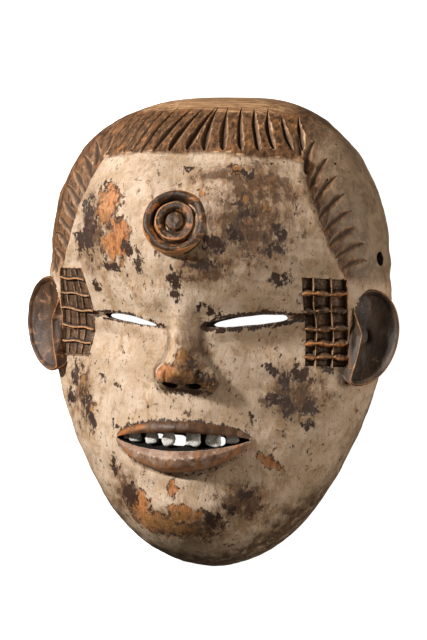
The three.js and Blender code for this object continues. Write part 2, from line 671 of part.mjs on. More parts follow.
function carveShell() {
  const us = spacedLines(24, (u) => 1 + 0.6 * bell(u, 0.4));
  const vs = spacedLines(29, (v) => 1 + 0.6 * bell(v + 0.3, 0.3));
  const coarse = (count) => spacedLines(count, () => 1);
  let shell = gridSolid(us, vs, (u, v) => facePoint(...eggPlace(u, v)), -4);
  const hollow = gridSolid(coarse(12), coarse(16), (u, v) => hollowPoint(...eggPlace(u, v)), -6);
  const ground = solidOf(new THREE.BoxGeometry(300, 300, 20).translate(0, 0, -10));
  for (const side of [1, -1]) shell = shell.add(earSolid(side));
  for (const piece of [foreheadDisc(), noseSolid(), ...lips()]) shell = shell.add(piece);
  const cuts = [hollow, ground, eyeSlit(rightEye, 1), eyeSlit(leftEye, -1)];
  cuts.push(mouthPocketCut(), mouthWindowCut(), ...hairCuts());
  for (const side of [1, -1]) {
    const { solid, cells } = templeBlock(side);
    shell = shell.add(solid);
    cuts.push(...cells, nostrilCut(side), cordHoleCut(side));
  }
  for (const spec of teeth) cuts.push(ringSolid(toothRings(spec, tooth.clearance, true)));
  for (const tool of cuts) shell = shell.subtract(tool);
  return shell;
}

const paintedWood = new THREE.MeshStandardMaterial({ color: 0xb39a7c, roughness: 0.75, metalness: 0 });
const toothWhite = new THREE.MeshStandardMaterial({ color: 0xc9c3b8, roughness: 0.7, metalness: 0 });

const maskAndTeeth = new THREE.Group();

const mask = new THREE.Mesh(geometryOf(carveShell()), paintedWood);
mask.name = "mask";
maskAndTeeth.add(mask);

teeth.forEach((spec, i) => {
  const peg = new THREE.Mesh(geometryOf(ringSolid(toothRings(spec, 0, false))), toothWhite);
  peg.name = `tooth_${i + 1}`;
  maskAndTeeth.add(peg);
});

// The origin is under the middle of the mask, on the plane it lies on.
const middle = new THREE.Box3().setFromObject(mask).getCenter(new THREE.Vector3());
maskAndTeeth.position.set(-middle.x, -middle.y, 0);

export default maskAndTeeth;
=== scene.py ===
import math
import bmesh
import bpy
import numpy as np
from mathutils import Matrix, Vector


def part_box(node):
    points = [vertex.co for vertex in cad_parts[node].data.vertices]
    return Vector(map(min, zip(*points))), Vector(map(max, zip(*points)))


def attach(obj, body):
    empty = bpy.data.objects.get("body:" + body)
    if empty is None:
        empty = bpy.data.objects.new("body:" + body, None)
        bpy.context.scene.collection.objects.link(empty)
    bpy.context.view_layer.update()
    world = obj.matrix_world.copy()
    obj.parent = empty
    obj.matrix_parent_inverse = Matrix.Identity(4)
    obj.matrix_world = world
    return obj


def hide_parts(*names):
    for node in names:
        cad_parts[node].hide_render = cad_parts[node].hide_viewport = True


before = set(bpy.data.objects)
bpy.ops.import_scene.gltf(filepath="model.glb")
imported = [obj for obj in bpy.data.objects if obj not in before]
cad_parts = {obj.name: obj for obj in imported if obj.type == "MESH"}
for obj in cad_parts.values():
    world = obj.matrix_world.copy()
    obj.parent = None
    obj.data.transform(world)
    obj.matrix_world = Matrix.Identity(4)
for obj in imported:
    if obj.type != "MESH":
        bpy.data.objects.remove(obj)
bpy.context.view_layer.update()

# The mask lies face up on its rim. Shapes are worked out in millimetres: +X is the viewer's right,
# +Y the crown and +Z out of the face. Each finished piece is fitted to the box of its CAD node.

shell = dict(
    halfWidth=95.5, centreY=25.0, crownReach=102.6, chinReach=151.5, crownPower=2.28, chinPower=1.87,
    powerTurn=0.35, rimWall=8.0, faceWall=13.0, browHeight=98.0, flankBlend=18.0,
    tuckDepth=31.0,  # the flank draws in over this height above the rim
    crownCutY=126.2, crownLean=0.1, crownTilt=0.015, crownRound=5.0, crownFrom=15.0, crownFall=0.006,
    chinFuller=0.07, chinTipFrom=-0.8, chinTipFull=-0.98,  # added to the chin's power towards its tip
    jawBulge=2.6, jawY=(-40.0, -110.0), jawX=(5.0, -35.0),  # from nothing to the whole bulge
    columns=206, rows=236,  # the fine grid over the whole face
    hollowColumns=88, hollowRows=108, pinch=0.08,
    skirtZ=-4, hollowSkirtZ=-6, groundHalf=150, groundBottom=-20,  # cut away again at the height of the rim
)
# shallow waves of the adze outside, and rows of gouge strokes inside
toolMarks = dict(
    broad=0.2, broadLength=17, broadSeed=3, fine=0.09, fineLength=6, fineSeed=4, fullZ=9,
    laneWidth=11, laneSway=0.25, swayLength=19, strokeLength=21, laneShift=0.37, gouge=0.9,
)

# knots: (angle in degrees or y, value)
tuckKnots = [(-90, 1.5), (-60, 5), (-20, 5.8), (10, 7.2), (45, 4.6), (90, -1.5)]
flankHeight = [(-90, 162.5), (-65, 150), (-40, 136), (-5, 123), (25, 125.5), (55, 123.5), (90, 117.5)]
flankPower = [(-90, 0.46), (-65, 0.52), (-40, 0.45), (-5, 0.44), (25, 0.36), (55, 0.245), (90, 0.43)]
sideProfile = [
    (-125, 40), (-110, 56), (-96, 63), (-80, 67), (-60, 72), (-35, 77), (0, 84),
    (20, 91), (54, 98), (75, 93), (91, 81), (105, 66), (125, 40),
]
wedgeSlope = [(-125, 0.55), (-60, 0.6), (0, 0.68), (30, 0.72), (60, 0.74), (125, 0.8)]
wedgeRound = [(-125, 30), (-60, 26), (0, 22), (30, 26), (60, 32), (125, 34)]


# 0 up to a, 1 from b on, with a soft rise between. b may lie below a
def smoothstep(a, b, v):
    t = np.clip((v - a) / (b - a), 0, 1)
    return t * t * (3 - 2 * t)


# the smaller of two values, rounded off where they are less than k apart
def smoothMin(a, b, k):
    h = np.clip(k - np.abs(a - b), 0, None) / k
    return np.minimum(a, b) - h * h * k / 4


def smoothMax(a, b, k):
    return -smoothMin(-a, -b, k)


# 1 at zero, falling off softly on both sides
def bell(v, half):
    return np.exp(-(v / half) ** 2)


# a smooth curve through the knots, level at both ends
def curveThrough(knots, v):
    x, y = np.array(knots, float).T
    step = np.diff(x)
    rise = np.diff(y) / step
    slope = np.zeros_like(x)
    slope[1:-1] = (rise[:-1] * step[1:] + rise[1:] * step[:-1]) / (step[:-1] + step[1:])
    v = np.clip(v, x[0], x[-1])
    i = np.clip(np.searchsorted(x, v, side="right") - 1, 0, len(x) - 2)
    h = step[i]
    t = (v - x[i]) / h
    start = y[i] * (2 * t**3 - 3 * t**2 + 1) + slope[i] * h * (t**3 - 2 * t**2 + t)
    end = y[i + 1] * (3 * t**2 - 2 * t**3) + slope[i + 1] * h * (t**3 - t**2)
    return start + end


waveSpread = (0.7, 1.5)  # how far the sine waves differ from the length that is asked for


# soft random waves between about -1 and 1: a sum of sine waves in seeded directions
def waves(points, length, seed, count=9):
    random = np.random.default_rng(seed)
    total = 0
    for _ in range(count):
        direction = random.normal(size=3)
        direction *= random.uniform(*waveSpread) * 2 * math.pi / (length * np.linalg.norm(direction))
        total = total + np.sin(points @ direction + random.uniform(0, 2 * math.pi))
    return total / math.sqrt(count)


# the egg outline as a superellipse: how far it reaches at an angle about its centre
def reach(angle):
    s = np.sin(angle)
    turn = smoothstep(-shell["powerTurn"], shell["powerTurn"], s)
    power = shell["chinPower"] + (shell["crownPower"] - shell["chinPower"]) * turn
    power = power + shell["chinFuller"] * smoothstep(shell["chinTipFrom"], shell["chinTipFull"], s)
    tall = np.where(s > 0, shell["crownReach"], shell["chinReach"])
    across = np.abs(np.cos(angle) / shell["halfWidth"])
    return (across**power + np.abs(s / tall) ** power) ** (-1 / power)


# the plain form: a wedge-shaped front blended into steep flanks that fall to the rim
def baseHeight(x, y):
    dy = y - shell["centreY"]
    angle = np.arctan2(dy, np.abs(x))
    degrees = np.degrees(angle)
    share = np.clip(1 - np.hypot(x, dy) / reach(angle), 0, None)
    flank = curveThrough(flankHeight, degrees) * share ** curveThrough(flankPower, degrees)
    bend = curveThrough(wedgeRound, y)
    front = curveThrough(sideProfile, y) - curveThrough(wedgeSlope, y) * (np.hypot(x, bend) - bend)
    return smoothMin(front, flank, shell["flankBlend"])


def basePoint(x, y):
    return np.stack([x, y, baseHeight(x, y)], -1)


# the direction straight out of the plain form, from its slopes over a short step
def baseNormal(x, y):
    d = 0.4
    slopeX = (baseHeight(x + d, y) - baseHeight(x - d, y)) / (2 * d)
    slopeY = (baseHeight(x, y + d) - baseHeight(x, y - d)) / (2 * d)
    normal = np.stack([-slopeX, -slopeY, np.ones_like(slopeX)], -1)
    return normal / np.linalg.norm(normal, axis=-1, keepdims=True)


# the left slit is narrower and lies flatter than the right one
leftEye = dict(
    innerX=15.0, outerX=54.8, innerY=2.4, outerY=6.8, slitHalf=2.0, innerTaper=1.5, outerTaper=7.0,
    crustOver=0.8, crustUnder=0.4,  # half widths of the dark crust above and below the slit
)
rightEye = dict(
    innerX=11.4, outerX=53.4, innerY=3.2, outerY=9.6, slitHalf=2.6, innerTaper=7.5, outerTaper=4.0,
    crustOver=1.0, crustUnder=1.5,
)
eyes = dict(
    arch=0.6, drop=0.5, fullness=0.55, ledge=2.6, ledgeReach=9.0, fade=0.7,
    lidRise=1.4, lidBelow=4.8, lidHalf=3.4,
    # distances from the face's mid-line between which each feature comes in or goes out
    comesIn=(5, 20), goesOut=(50, 62), creaseComes=(14, 24), tailComes=(51, 55), tailGoes=(63, 58),
    creaseBelow=9.5, creaseDepth=0.12, creaseHalf=0.9,
    socketY=1, socketDepth=5, socketX=42, socketHalfX=20, socketHalfY=15,
    innerDepth=2.5, innerSide=13, innerHalf=9,  # the dip between the slit and the nose
    tailDepth=1.5, tailHalf=1.1, tailDrop=0.4,  # a groove that runs on past the outer corner
    slitSteps=48, slitLevels=(150, 78, 58, 10), wander=0.12, wanderLength=1.9,
    insideFuller=0.2, insideThinner=0.1,  # the slit's inner outline against its outer one
)


# height of a slit's middle line, at a distance from the face's mid-line
def eyeLine(eye, side):
    t = np.clip((side - eye["innerX"]) / (eye["outerX"] - eye["innerX"]), -0.3, 1.3)
    arch = eyes["arch"] * np.sin(np.clip(t, 0, 1) * math.pi)
    return eye["innerY"] + (eye["outerY"] - eye["innerY"]) * t + arch


def fromEyeLine(x, y):
    side = np.abs(x)
    return y - np.where(x < 0, eyeLine(leftEye, side), eyeLine(rightEye, side))


# sunk sockets, a brow that overhangs the slit, a low lid under it and a faint crease below the lid
def eyeRelief(x, y):
    e = eyes
    side = np.abs(x)
    d = fromEyeLine(x, y)
    along = smoothstep(*e["comesIn"], side) * (1 - smoothstep(*e["goesOut"], side))
    over = smoothstep(-e["fade"], e["fade"], d)
    ledge = e["ledge"] * np.exp(-np.clip(d, 0, None) / e["ledgeReach"]) * over
    lid = e["lidRise"] * bell(d + e["lidBelow"], e["lidHalf"]) * (1 - over)
    crease = e["creaseDepth"] * bell(d + e["creaseBelow"], e["creaseHalf"])
    crease = crease * smoothstep(*e["creaseComes"], side)
    low = y - e["socketY"]
    socket = -e["socketDepth"] * bell(side - e["socketX"], e["socketHalfX"]) * bell(low, e["socketHalfY"])
    dip = e["innerDepth"] * bell(side - e["innerSide"], e["innerHalf"]) * bell(low, e["innerHalf"])
    tail = e["tailDepth"] * bell(d + e["tailDrop"], e["tailHalf"])
    tail = tail * smoothstep(*e["tailComes"], side) * smoothstep(*e["tailGoes"], side)
    return along * (ledge + lid - crease) + (socket - dip) - tail


nose = dict(
    topY=15.0, tipY=-20.0, baseY=-31.0, leanTop=0.6, leanTip=1.2, height=14.0, under=2.0,
    start=2.0, startAt=(-0.15, 0.2), half=6.5, spread=2.5, flare=3.0, flareAt=(0.6, 1), rise=1.6, round=1.8,
    ballOver=0.5, ballX=9.5, ballY=11.0, ballFull=1.12,
    wingX=10.4, wingY=-24.5, wingHeight=9.0, wingHalfX=5.8, wingHalfY=7.5, wingFull=1.1,
    foldDepth=1.0, foldX=7.6, foldHalf=1.0, foldComes=(-14, -21),  # between the ball and the wings
    lowest=-0.6, join=3, underJoin=2, cheekJoin=2.5, sunk=0.6, topFade=9, topFull=3,
)


# a narrow bridge, a ball at the tip and two wings, cut off by a steep underside
def noseRelief(x, y):
    n = nose
    t = np.clip((n["topY"] - y) / (n["topY"] - n["tipY"]), 0, 1.4)
    down = np.minimum(t, 1)
    dx = x - (n["leanTop"] + (n["leanTip"] - n["leanTop"]) * down)
    ridge = n["start"] * smoothstep(*n["startAt"], t) + (n["height"] - n["start"]) * down ** n["rise"]
    half = n["half"] + n["spread"] * t + n["flare"] * smoothstep(*n["flareAt"], t)
    spine = ridge * np.clip(1 - np.abs(dx / half) ** n["round"], n["lowest"], None)
    fromBall = (dx / n["ballX"]) ** 2 + ((y - n["tipY"]) / n["ballY"]) ** 2
    ball = (n["height"] + n["ballOver"]) * np.clip(n["ballFull"] - fromBall, n["lowest"], 1)
    fromWing = ((np.abs(dx) - n["wingX"]) / n["wingHalfX"]) ** 2 + ((y - n["wingY"]) / n["wingHalfY"]) ** 2
    wing = n["wingHeight"] * np.clip(n["wingFull"] - fromWing, n["lowest"], 1)
    full = smoothMax(smoothMax(spine, ball, n["join"]), wing, n["join"])
    fold = n["foldDepth"] * bell(np.abs(dx) - n["foldX"], n["foldHalf"])
    full = full - fold * smoothstep(*n["foldComes"], y)
    under = smoothMin(full, (y - n["baseY"]) * n["under"], n["underJoin"])
    fade = smoothstep(n["topY"] + n["topFade"], n["topY"] - n["topFull"], y)
    return (smoothMax(under, 0, n["cheekJoin"]) - n["sunk"]) * fade


mouth = dict(
    centreX=-2.0, halfWidth=36.8, cornerY=-56.1, slant=0.033, topRise=5.3, bottomDrop=6.2,
    topFullness=0.6, fullness=0.8, cornerDrop=1.5, lipDrop=16.0, over=0.8, upper=3.0,
)
muzzle = dict(
    x=-1.0, y=-58.0, halfX=40.0, halfY=20.0, out=6.5,
    foldDepth=1.6, foldBelow=1.2, foldHalf=2.2, foldTaper=0.4,
)
chin = dict(x=3.0, y=-94.0, halfX=26.0, halfY=15.0, out=5.0)


# the edges of the mouth at x: opening top and bottom, then the outer edges of both lips
def mouthEdges(x):
    m = mouth
    t = np.clip((x - m["centreX"]) / m["halfWidth"], -1, 1)
    lens = 1 - t * t
    line = m["cornerY"] + m["slant"] * (x - m["centreX"])
    full = lens ** m["fullness"]
    top = line + m["topRise"] * lens ** m["topFullness"]
    bottom = line - m["bottomDrop"] * full
    lowest = line - m["cornerDrop"] - m["lipDrop"] * full
    highest = top + m["over"] + m["upper"] * np.sqrt(lens)
    return lens, top, bottom, lowest, highest


# the muzzle and chin swell forward, with a fold under the lower lip
def muzzleRelief(x, y):
    lens, top, bottom, lowest, highest = mouthEdges(x)
    fold = muzzle["foldDepth"] * bell(y - lowest + muzzle["foldBelow"], muzzle["foldHalf"])
    fold = fold * lens ** muzzle["foldTaper"]
    swell = muzzle["out"] * bell(x - muzzle["x"], muzzle["halfX"]) * bell(y - muzzle["y"], muzzle["halfY"])
    low = chin["out"] * bell(x - chin["x"], chin["halfX"]) * bell(y - chin["y"], chin["halfY"])
    return swell + low - fold


panel = dict(
    hairlineY=91.0, cornerX=52.5, footX=76.0, footY=31.0, footFade=4, topGoes=(100, 88),
    step=2.9, stepAt=(-0.5, 1.8), reach=16.0, lip=0.5, lipInside=1.6, lipHalf=1.5,
    hairRise=0.7, hairRiseAt=(-0.9, 0.7), fringeFade=7,
    # the wandering of the slanting sides and of the hairline: (height, length)
    sideWave=(0.35, 5.3), sideRipple=(0.2, 2.1), lockWave=(0.45, 6.1), lockRipple=(0.35, 2.3),
    hairlineFall=0.0009,
)


# distance outside the slanting side of the face panel
def besidePanel(x, y):
    alongX = panel["footX"] - panel["cornerX"]
    alongY = panel["footY"] - panel["hairlineY"]
    across = (np.abs(x) - panel["cornerX"]) * alongY - (y - panel["hairlineY"]) * alongX
    return -across / math.hypot(alongX, alongY)


# a sine wave of a given height and length
def ripple(v, wave, start=0):
    height, length = wave
    return height * np.sin(v / length + start)


# the ends of the locks make the hairline uneven
def hairLine(x):
    wavy = panel["hairlineY"] + ripple(x, panel["lockWave"]) + ripple(x, panel["lockRipple"], 1)
    return wavy - panel["hairlineFall"] * x * x


# the face panel stands proud of the hair at its slanting sides, and the fringe stands proud of it
def hairRelief(x, y):
    p = panel
    outside = besidePanel(x, y) + ripple(y, p["sideWave"]) + ripple(y, p["sideRipple"])
    above = smoothstep(p["footY"] - p["footFade"], p["footY"] + p["footFade"], y)
    above = above * smoothstep(*p["topGoes"], y)
    fall = smoothstep(*p["stepAt"], outside) * np.exp(-np.clip(outside, 0, None) / p["reach"])
    lip = p["lip"] * bell(outside + p["lipInside"], p["lipHalf"]) * above
    fringe = smoothstep(p["cornerX"] + p["fringeFade"], p["cornerX"], np.abs(x))
    proud = p["hairRise"] * smoothstep(*p["hairRiseAt"], y - hairLine(x)) * fringe
    return proud + lip - p["step"] * fall * above


# the flank tucks in towards the rim, the crown is cut flat and the jaw swells to the left
def settle(points):
    x, y, z = np.moveaxis(points, -1, 0)
    dy = y - shell["centreY"]
    far = np.hypot(x, dy) + 1e-9
    degrees = np.degrees(np.arctan2(dy, np.abs(x)))
    tuck = curveThrough(tuckKnots, degrees) * np.clip(1 - z / shell["tuckDepth"], 0, None) ** 2 / far
    y = shell["centreY"] + dy * (1 - tuck)
    jaw = smoothstep(*shell["jawY"], y) * smoothstep(*shell["jawX"], x)
    x = x * (1 - tuck) - shell["jawBulge"] * jaw
    cutY = shell["crownCutY"] + shell["crownTilt"] * x - shell["crownLean"] * z
    cutY = cutY - shell["crownFall"] * np.clip(np.abs(x) - shell["crownFrom"], 0, None) ** 2
    return np.stack([x, smoothMin(y, cutY, shell["crownRound"]), z], -1)


# what changes the height of the face beside its nose: eyes, muzzle and chin
def frontRelief(x, y):
    return eyeRelief(x, y) + muzzleRelief(x, y)


# a place on the finished face, with the tool marks and a rise along the plain form's direction
def facePoint(x, y, rise=0):
    m = toolMarks
    normal = baseNormal(x, y)
    points = basePoint(x, y)
    height = frontRelief(x, y) + noseRelief(x, y)
    adze = m["broad"] * waves(points, m["broadLength"], m["broadSeed"])
    adze = adze + m["fine"] * waves(points, m["fineLength"], m["fineSeed"])
    adze = adze * smoothstep(0, m["fullZ"], points[..., 2])
    points = points + normal * (hairRelief(x, y) + adze + rise)[..., None]
    points[..., 2] += height
    return settle(points)


# height of the face without its nose at one place
def frontHeight(x, y):
    x, y = np.array(x, float), np.array(y, float)
    return float(basePoint(x, y)[2] + frontRelief(x, y))


# the hollow: the plain form drawn in by the wall, with rows of gouge strokes that are deepest in
# the middle of their lanes
def hollowPoint(x, y):
    m = toolMarks
    strokes = x / m["laneWidth"] + ripple(y, (m["laneSway"], m["swayLength"]))
    lane = np.floor(strokes)
    across = strokes - lane - 0.5
    along = (y / m["strokeLength"] + m["laneShift"] * lane) % 1 - 0.5
    gouge = m["gouge"] * (1 - 4 * across**2) * (1 - 3 * along**2)
    points = settle(basePoint(x, y) + baseNormal(x, y) * gouge[..., None])
    k = 1 - shell["rimWall"] / reach(np.arctan2(y - shell["centreY"], np.abs(x)))
    points[..., 0] *= k
    points[..., 1] = shell["centreY"] + (points[..., 1] - shell["centreY"]) * k
    points[..., 2] *= 1 - shell["faceWall"] / shell["browHeight"]
    return points


# the number that marks the faces of each part of the carving
partOf = dict(outer=0, hollow=1, hair=2, disc=3, block=4, ear=5, lip=6, slit=7, hole=8, upperLip=9, tooth=10)


# a new piece from its points and from groups of faces with the same number of corners each
def putMesh(name, points, faces, part):
    mesh = bpy.data.meshes.new(name)
    sizes = np.concatenate([np.full(len(f), f.shape[1]) for f in faces])
    corners = np.concatenate([f.ravel() for f in faces])
    mesh.vertices.add(len(points))
    mesh.vertices.foreach_set("co", np.asarray(points, np.float32).ravel())
    mesh.loops.add(len(corners))
    mesh.loops.foreach_set("vertex_index", corners.astype(np.int32))
    mesh.polygons.add(len(sizes))
    mesh.polygons.foreach_set("loop_start", (np.cumsum(sizes) - sizes).astype(np.int32))
    mesh.update(calc_edges=True)
    mark = mesh.attributes.new("part", "INT", "FACE")
    mark.data.foreach_set("value", np.full(len(sizes), part, np.int32))
    piece = bpy.data.objects.new(name, mesh)
    bpy.context.scene.collection.objects.link(piece)
    return piece


# evenly spaced angles once around
def fullTurn(count):
    return np.linspace(0, 2 * math.pi, count, endpoint=False)


# places across the mouth from corner to corner, closer together near the corners
def acrossMouth(count, share):
    return mouth["centreX"] + mouth["halfWidth"] * share * np.sin(np.linspace(-0.5, 0.5, count) * math.pi)


def quadFaces(index):
    return np.stack([index[:-1, :-1], index[:-1, 1:], index[1:, 1:], index[1:, :-1]], -1).reshape(-1, 4)


# a grid over the unit square drawn onto the disc and then onto the egg outline,
# with its lines closing up towards the rim, where the flank falls steeply
def eggGrid(columns, rows, place):
    u, v = np.meshgrid(np.linspace(-1, 1, columns), np.linspace(-1, 1, rows))
    a = u * np.sqrt(1 - v * v / 2)
    b = v * np.sqrt(1 - u * u / 2)
    angle = np.arctan2(b, a)
    left = 1 - np.hypot(a, b)
    share = 1 - (1 + shell["pinch"]) * left**2 / (left + shell["pinch"])
    r = reach(angle) * share
    return place(r * np.cos(angle), shell["centreY"] + r * np.sin(angle))


# a grid closed below: its border dropped to the floor height and joined to one middle point
def gridSolid(name, points, floorZ, part):
    rows, columns = points.shape[:2]
    index = np.arange(rows * columns).reshape(rows, columns)
    border = np.concatenate([index[0, :-1], index[:-1, -1], index[-1, :0:-1], index[:0:-1, 0]])
    flat = points.reshape(-1, 3)
    skirt = flat[border] * [1, 1, 0] + [0, 0, floorZ]
    low = len(flat) + np.arange(len(border))
    middle = np.full(len(border), len(flat) + len(border))
    sides = np.stack([border, low, np.roll(low, -1), np.roll(border, -1)], -1)
    bottom = np.stack([middle, np.roll(low, -1), low], -1)
    every = np.concatenate([flat, skirt, [[0, 0, floorZ]]])
    return putMesh(name, every, [quadFaces(index), sides, bottom], part)


# closed tubes, each a stack of rings of points, joined in one mesh and turned to face outwards
def tubes(name, stacks, part):
    points = []
    quads = []
    fans = []
    count = 0
    for rings in stacks:
        levels, sides = rings.shape[:2]
        index = count + np.arange(levels * sides).reshape(levels, sides)
        index = np.concatenate([index, index[:, :1]], 1)
        ends = rings.mean(1)[[0, -1]]
        first = np.full(sides, count + levels * sides)
        faces = quadFaces(index)
        caps = [
            np.stack([first, index[0, 1:], index[0, :-1]], -1),
            np.stack([first + 1, index[-1, :-1], index[-1, 1:]], -1),
        ]
        flat = np.concatenate([rings.reshape(-1, 3), ends])
        around = np.concatenate([faces[:, [0, 1, 2]], faces[:, [0, 2, 3]], *caps]) - count
        a, b, c = flat[around].transpose(1, 0, 2)
        if np.einsum("ij,ij->i", a, np.cross(b, c)).sum() < 0:
            faces = faces[:, ::-1]
            caps = [cap[:, ::-1] for cap in caps]
        points.append(flat)
        quads.append(faces)
        fans.extend(caps)
        count += len(flat)
    return putMesh(name, np.concatenate(points), [np.concatenate(quads), np.concatenate(fans)], part)


# puts the result of the modifiers in the place of a piece's own mesh
def applied(piece):
    graph = bpy.context.evaluated_depsgraph_get()
    mesh = bpy.data.meshes.new_from_object(piece.evaluated_get(graph))
    old = piece.data
    piece.modifiers.clear()
    piece.data = mesh
    bpy.data.meshes.remove(old)


# joins a tool to a piece or cuts it away
def carve(piece, tool, operation):
    step = piece.modifiers.new("carve", "BOOLEAN")
    step.operation = operation
    step.solver = "MANIFOLD"
    step.object = tool
    applied(piece)
    bpy.data.objects.remove(tool)


disc = dict(
    x=-2.2, y=54.6, radius=17.0, sunk=3.0, around=132, across=44, edgeHeight=0.4,
    openAngle=3.95, openHalfAngle=0.42, openRadius=8.2, openHalf=2.4, openDepth=1.5,
    lobes=5, lobeHeight=0.12, lobeRadius=13, lobeHalf=3,
    wander=[(0.02, 2, 0.6), (0.015, 3, 2), (0.01, 7, 0)],  # (share, waves in a turn, start)
)
# heights of the rings: (radius, height)
discProfile = [
    (0, 2.9), (3.2, 2.8), (4.4, 2.1), (5.0, 0.6), (5.8, 0.4), (6.7, 1.9), (8.6, 2.7), (10.3, 2.2),
    (10.9, 0.6), (11.6, 0.2), (12.4, 2.0), (14.0, 3.3), (15.6, 2.9), (16.6, 1.5), (17.4, 0.4),
]


# concentric rings turned about the forehead's own direction, cut by hand: their lines wander,
# and the inner ring runs out at the lower left
def foreheadDisc():
    d = disc
    angle, share = np.meshgrid(fullTurn(d["around"]), np.linspace(0, 1, d["across"]))
    wander = 1
    for part, count, start in d["wander"]:
        wander = wander + part * np.sin(count * angle + start)
    r = share * d["radius"]
    s = r * wander
    height = curveThrough(discProfile, s)
    opening = bell(angle - d["openAngle"], d["openHalfAngle"]) * bell(s - d["openRadius"], d["openHalf"])
    lobes = d["lobeHeight"] * np.sin(d["lobes"] * angle + r) * bell(r - d["lobeRadius"], d["lobeHalf"])
    height = height - d["openDepth"] * opening + lobes
    height = np.where(share >= 1, d["edgeHeight"], height)
    rings = np.stack([r * np.cos(angle), r * np.sin(angle), height], -1)
    skirt = rings[-1:] * [1, 1, 0] - [0, 0, d["sunk"]]
    rings = np.concatenate([rings[1:], skirt])
    place = np.array(d["x"]), np.array(d["y"])
    centre = basePoint(*place)
    out = baseNormal(*place)
    along = np.cross([0, 1, 0], out)
    along /= np.linalg.norm(along)
    up = np.cross(out, along)
    placed = centre + rings[..., :1] * along + rings[..., 1:2] * up + rings[..., 2:] * out
    return tubes("disc", [placed], partOf["disc"])


lip = dict(
    lowerOut=6.2, upperOut=1.9, sunk=5.0, stations=120, reach=0.99, rows=26, backStride=5, taper=0.4,
    swell=0.05, swellLength=13, dent=0.03, dentLength=4,
    lowerWave=(0.25, 3.7), upperWave=(0.2, 3.1), lowerSeed=11, upperSeed=21,
    lowerOverlap=1.5, upperOverlap=4.0,  # past the opening's edges
)

# lip sections: (share of the way up the lip, share of its full rise)
lowerSection = [
    (0, 0), (0.02, 0.3), (0.07, 0.6), (0.16, 0.82), (0.3, 0.95), (0.46, 1.0), (0.56, 0.99),
    (0.64, 0.88), (0.8, 0.58), (1, 0.2),
]
upperSection = [
    (0, -0.9), (0.2, 0.2), (0.34, 0.8), (0.5, 1.0), (0.68, 0.92), (0.85, 0.6), (0.95, 0.25), (1, 0),
]


# a roll lying on the face between two edges, thinning to both corners of the mouth
def lipRoll(part, section, edgesAt, out, seed):
    x = acrossMouth(lip["stations"], lip["reach"])
    lens, low, high = edgesAt(x)
    share = np.linspace(0, 1, lip["rows"])
    rise = curveThrough(section, share)
    y = low[:, None] + (high - low)[:, None] * share
    wide = np.broadcast_to(x[:, None], y.shape)
    front = facePoint(wide, y)
    swell = 1 + lip["swell"] * waves(front * [1, 0, 0], lip["swellLength"], seed)
    swell = swell + lip["dent"] * waves(front, lip["dentLength"], seed + 1)
    front[..., 2] += out * lens[:, None] ** lip["taper"] * rise * swell
    back = facePoint(wide[:, :: -lip["backStride"]], y[:, :: -lip["backStride"]])
    back[..., 2] -= lip["sunk"]
    return tubes(part, [np.concatenate([front, back], 1)], partOf[part])


def lowerLip():
    def edges(x):
        lens, top, bottom, lowest, highest = mouthEdges(x)
        return lens, lowest + ripple(x, lip["lowerWave"]) * lens, bottom + lip["lowerOverlap"]

    return lipRoll("lip", lowerSection, edges, lip["lowerOut"], lip["lowerSeed"])


def upperLip():
    def edges(x):
        lens, top, bottom, lowest, highest = mouthEdges(x)
        return lens, top - lip["upperOverlap"], highest + ripple(x, lip["upperWave"]) * lens

    return lipRoll("upperLip", upperSection, edges, lip["upperOut"], lip["upperSeed"])


# outlines in x and y, each at its own height, joined to one solid
def prism(name, outlines, heights, part):
    rings = [np.column_stack([o, np.full(len(o), z)]) for o, z in zip(outlines, heights)]
    return tubes(name, [np.array(rings)], part)


# half the slit's height along it. inside is 0 at the face and 1 at the narrower inner outline
def slitHeight(eye, t, inside):
    fullness = eyes["fullness"] - eyes["insideFuller"] * inside
    return eye["slitHalf"] * (4 * t * (1 - t)) ** fullness * (1 - eyes["insideThinner"] * inside)


def eyeSlit(eye, side):
    steps = eyes["slitSteps"]
    k = np.arange(2 * steps)
    t = 1 - np.abs(1 - k / steps)
    outlines = []
    for inside in (0, 0, 1, 1):
        start = eye["innerX"] + eye["innerTaper"] * inside
        end = eye["outerX"] - eye["outerTaper"] * inside
        x = start + (end - start) * t
        wander = eyes["wander"] * np.sin(x / eyes["wanderLength"] + side) * np.sin(t * math.pi)
        half = slitHeight(eye, t, inside) + wander
        middle = eyeLine(eye, x) - eyes["drop"]
        outlines.append(np.column_stack([side * x, middle + np.where(k < steps, half, -half)]))
    return prism("eye slit", outlines, eyes["slitLevels"], partOf["slit"])


pocket = dict(
    depth=11.0, above=25.0, reach=0.985, stations=60, shelf=3.2, hang=2.1, middle=0.55,
    kneeUp=0.3, kneeAcross=0.6,  # where the lower wall bends, between its foot and the lip's crest
    step=2,  # the upper wall's height below the middle
)


# the room behind the lips in which the teeth stand: its lower wall slants back from the lip's crest
def mouthPocket():
    x = acrossMouth(pocket["stations"], pocket["reach"])
    lens, top, bottom, lowest, highest = mouthEdges(x)
    floor = np.array([frontHeight(a, b) for a, b in zip(x, (top + bottom) / 2)]) - pocket["depth"]
    high = floor + pocket["above"]
    back = np.minimum(bottom + pocket["shelf"] * lens, (top + bottom) / 2)
    knee = back * (1 - pocket["kneeAcross"]) + bottom * pocket["kneeAcross"]
    middleZ = floor + pocket["middle"] * pocket["depth"]
    hang = top - pocket["hang"] * lens**0.5  # the upper lip hangs before the roots of the teeth
    section = [
        (back, floor), (knee, floor + pocket["kneeUp"] * pocket["depth"]), (bottom, middleZ), (bottom, high),
        (hang, high), (hang, middleZ), (top, middleZ - pocket["step"]), (top, floor),
    ]
    rings = np.stack([np.stack([x, y, z], -1) for y, z in section], 1)
    return tubes("mouth pocket", [rings], partOf["slit"])


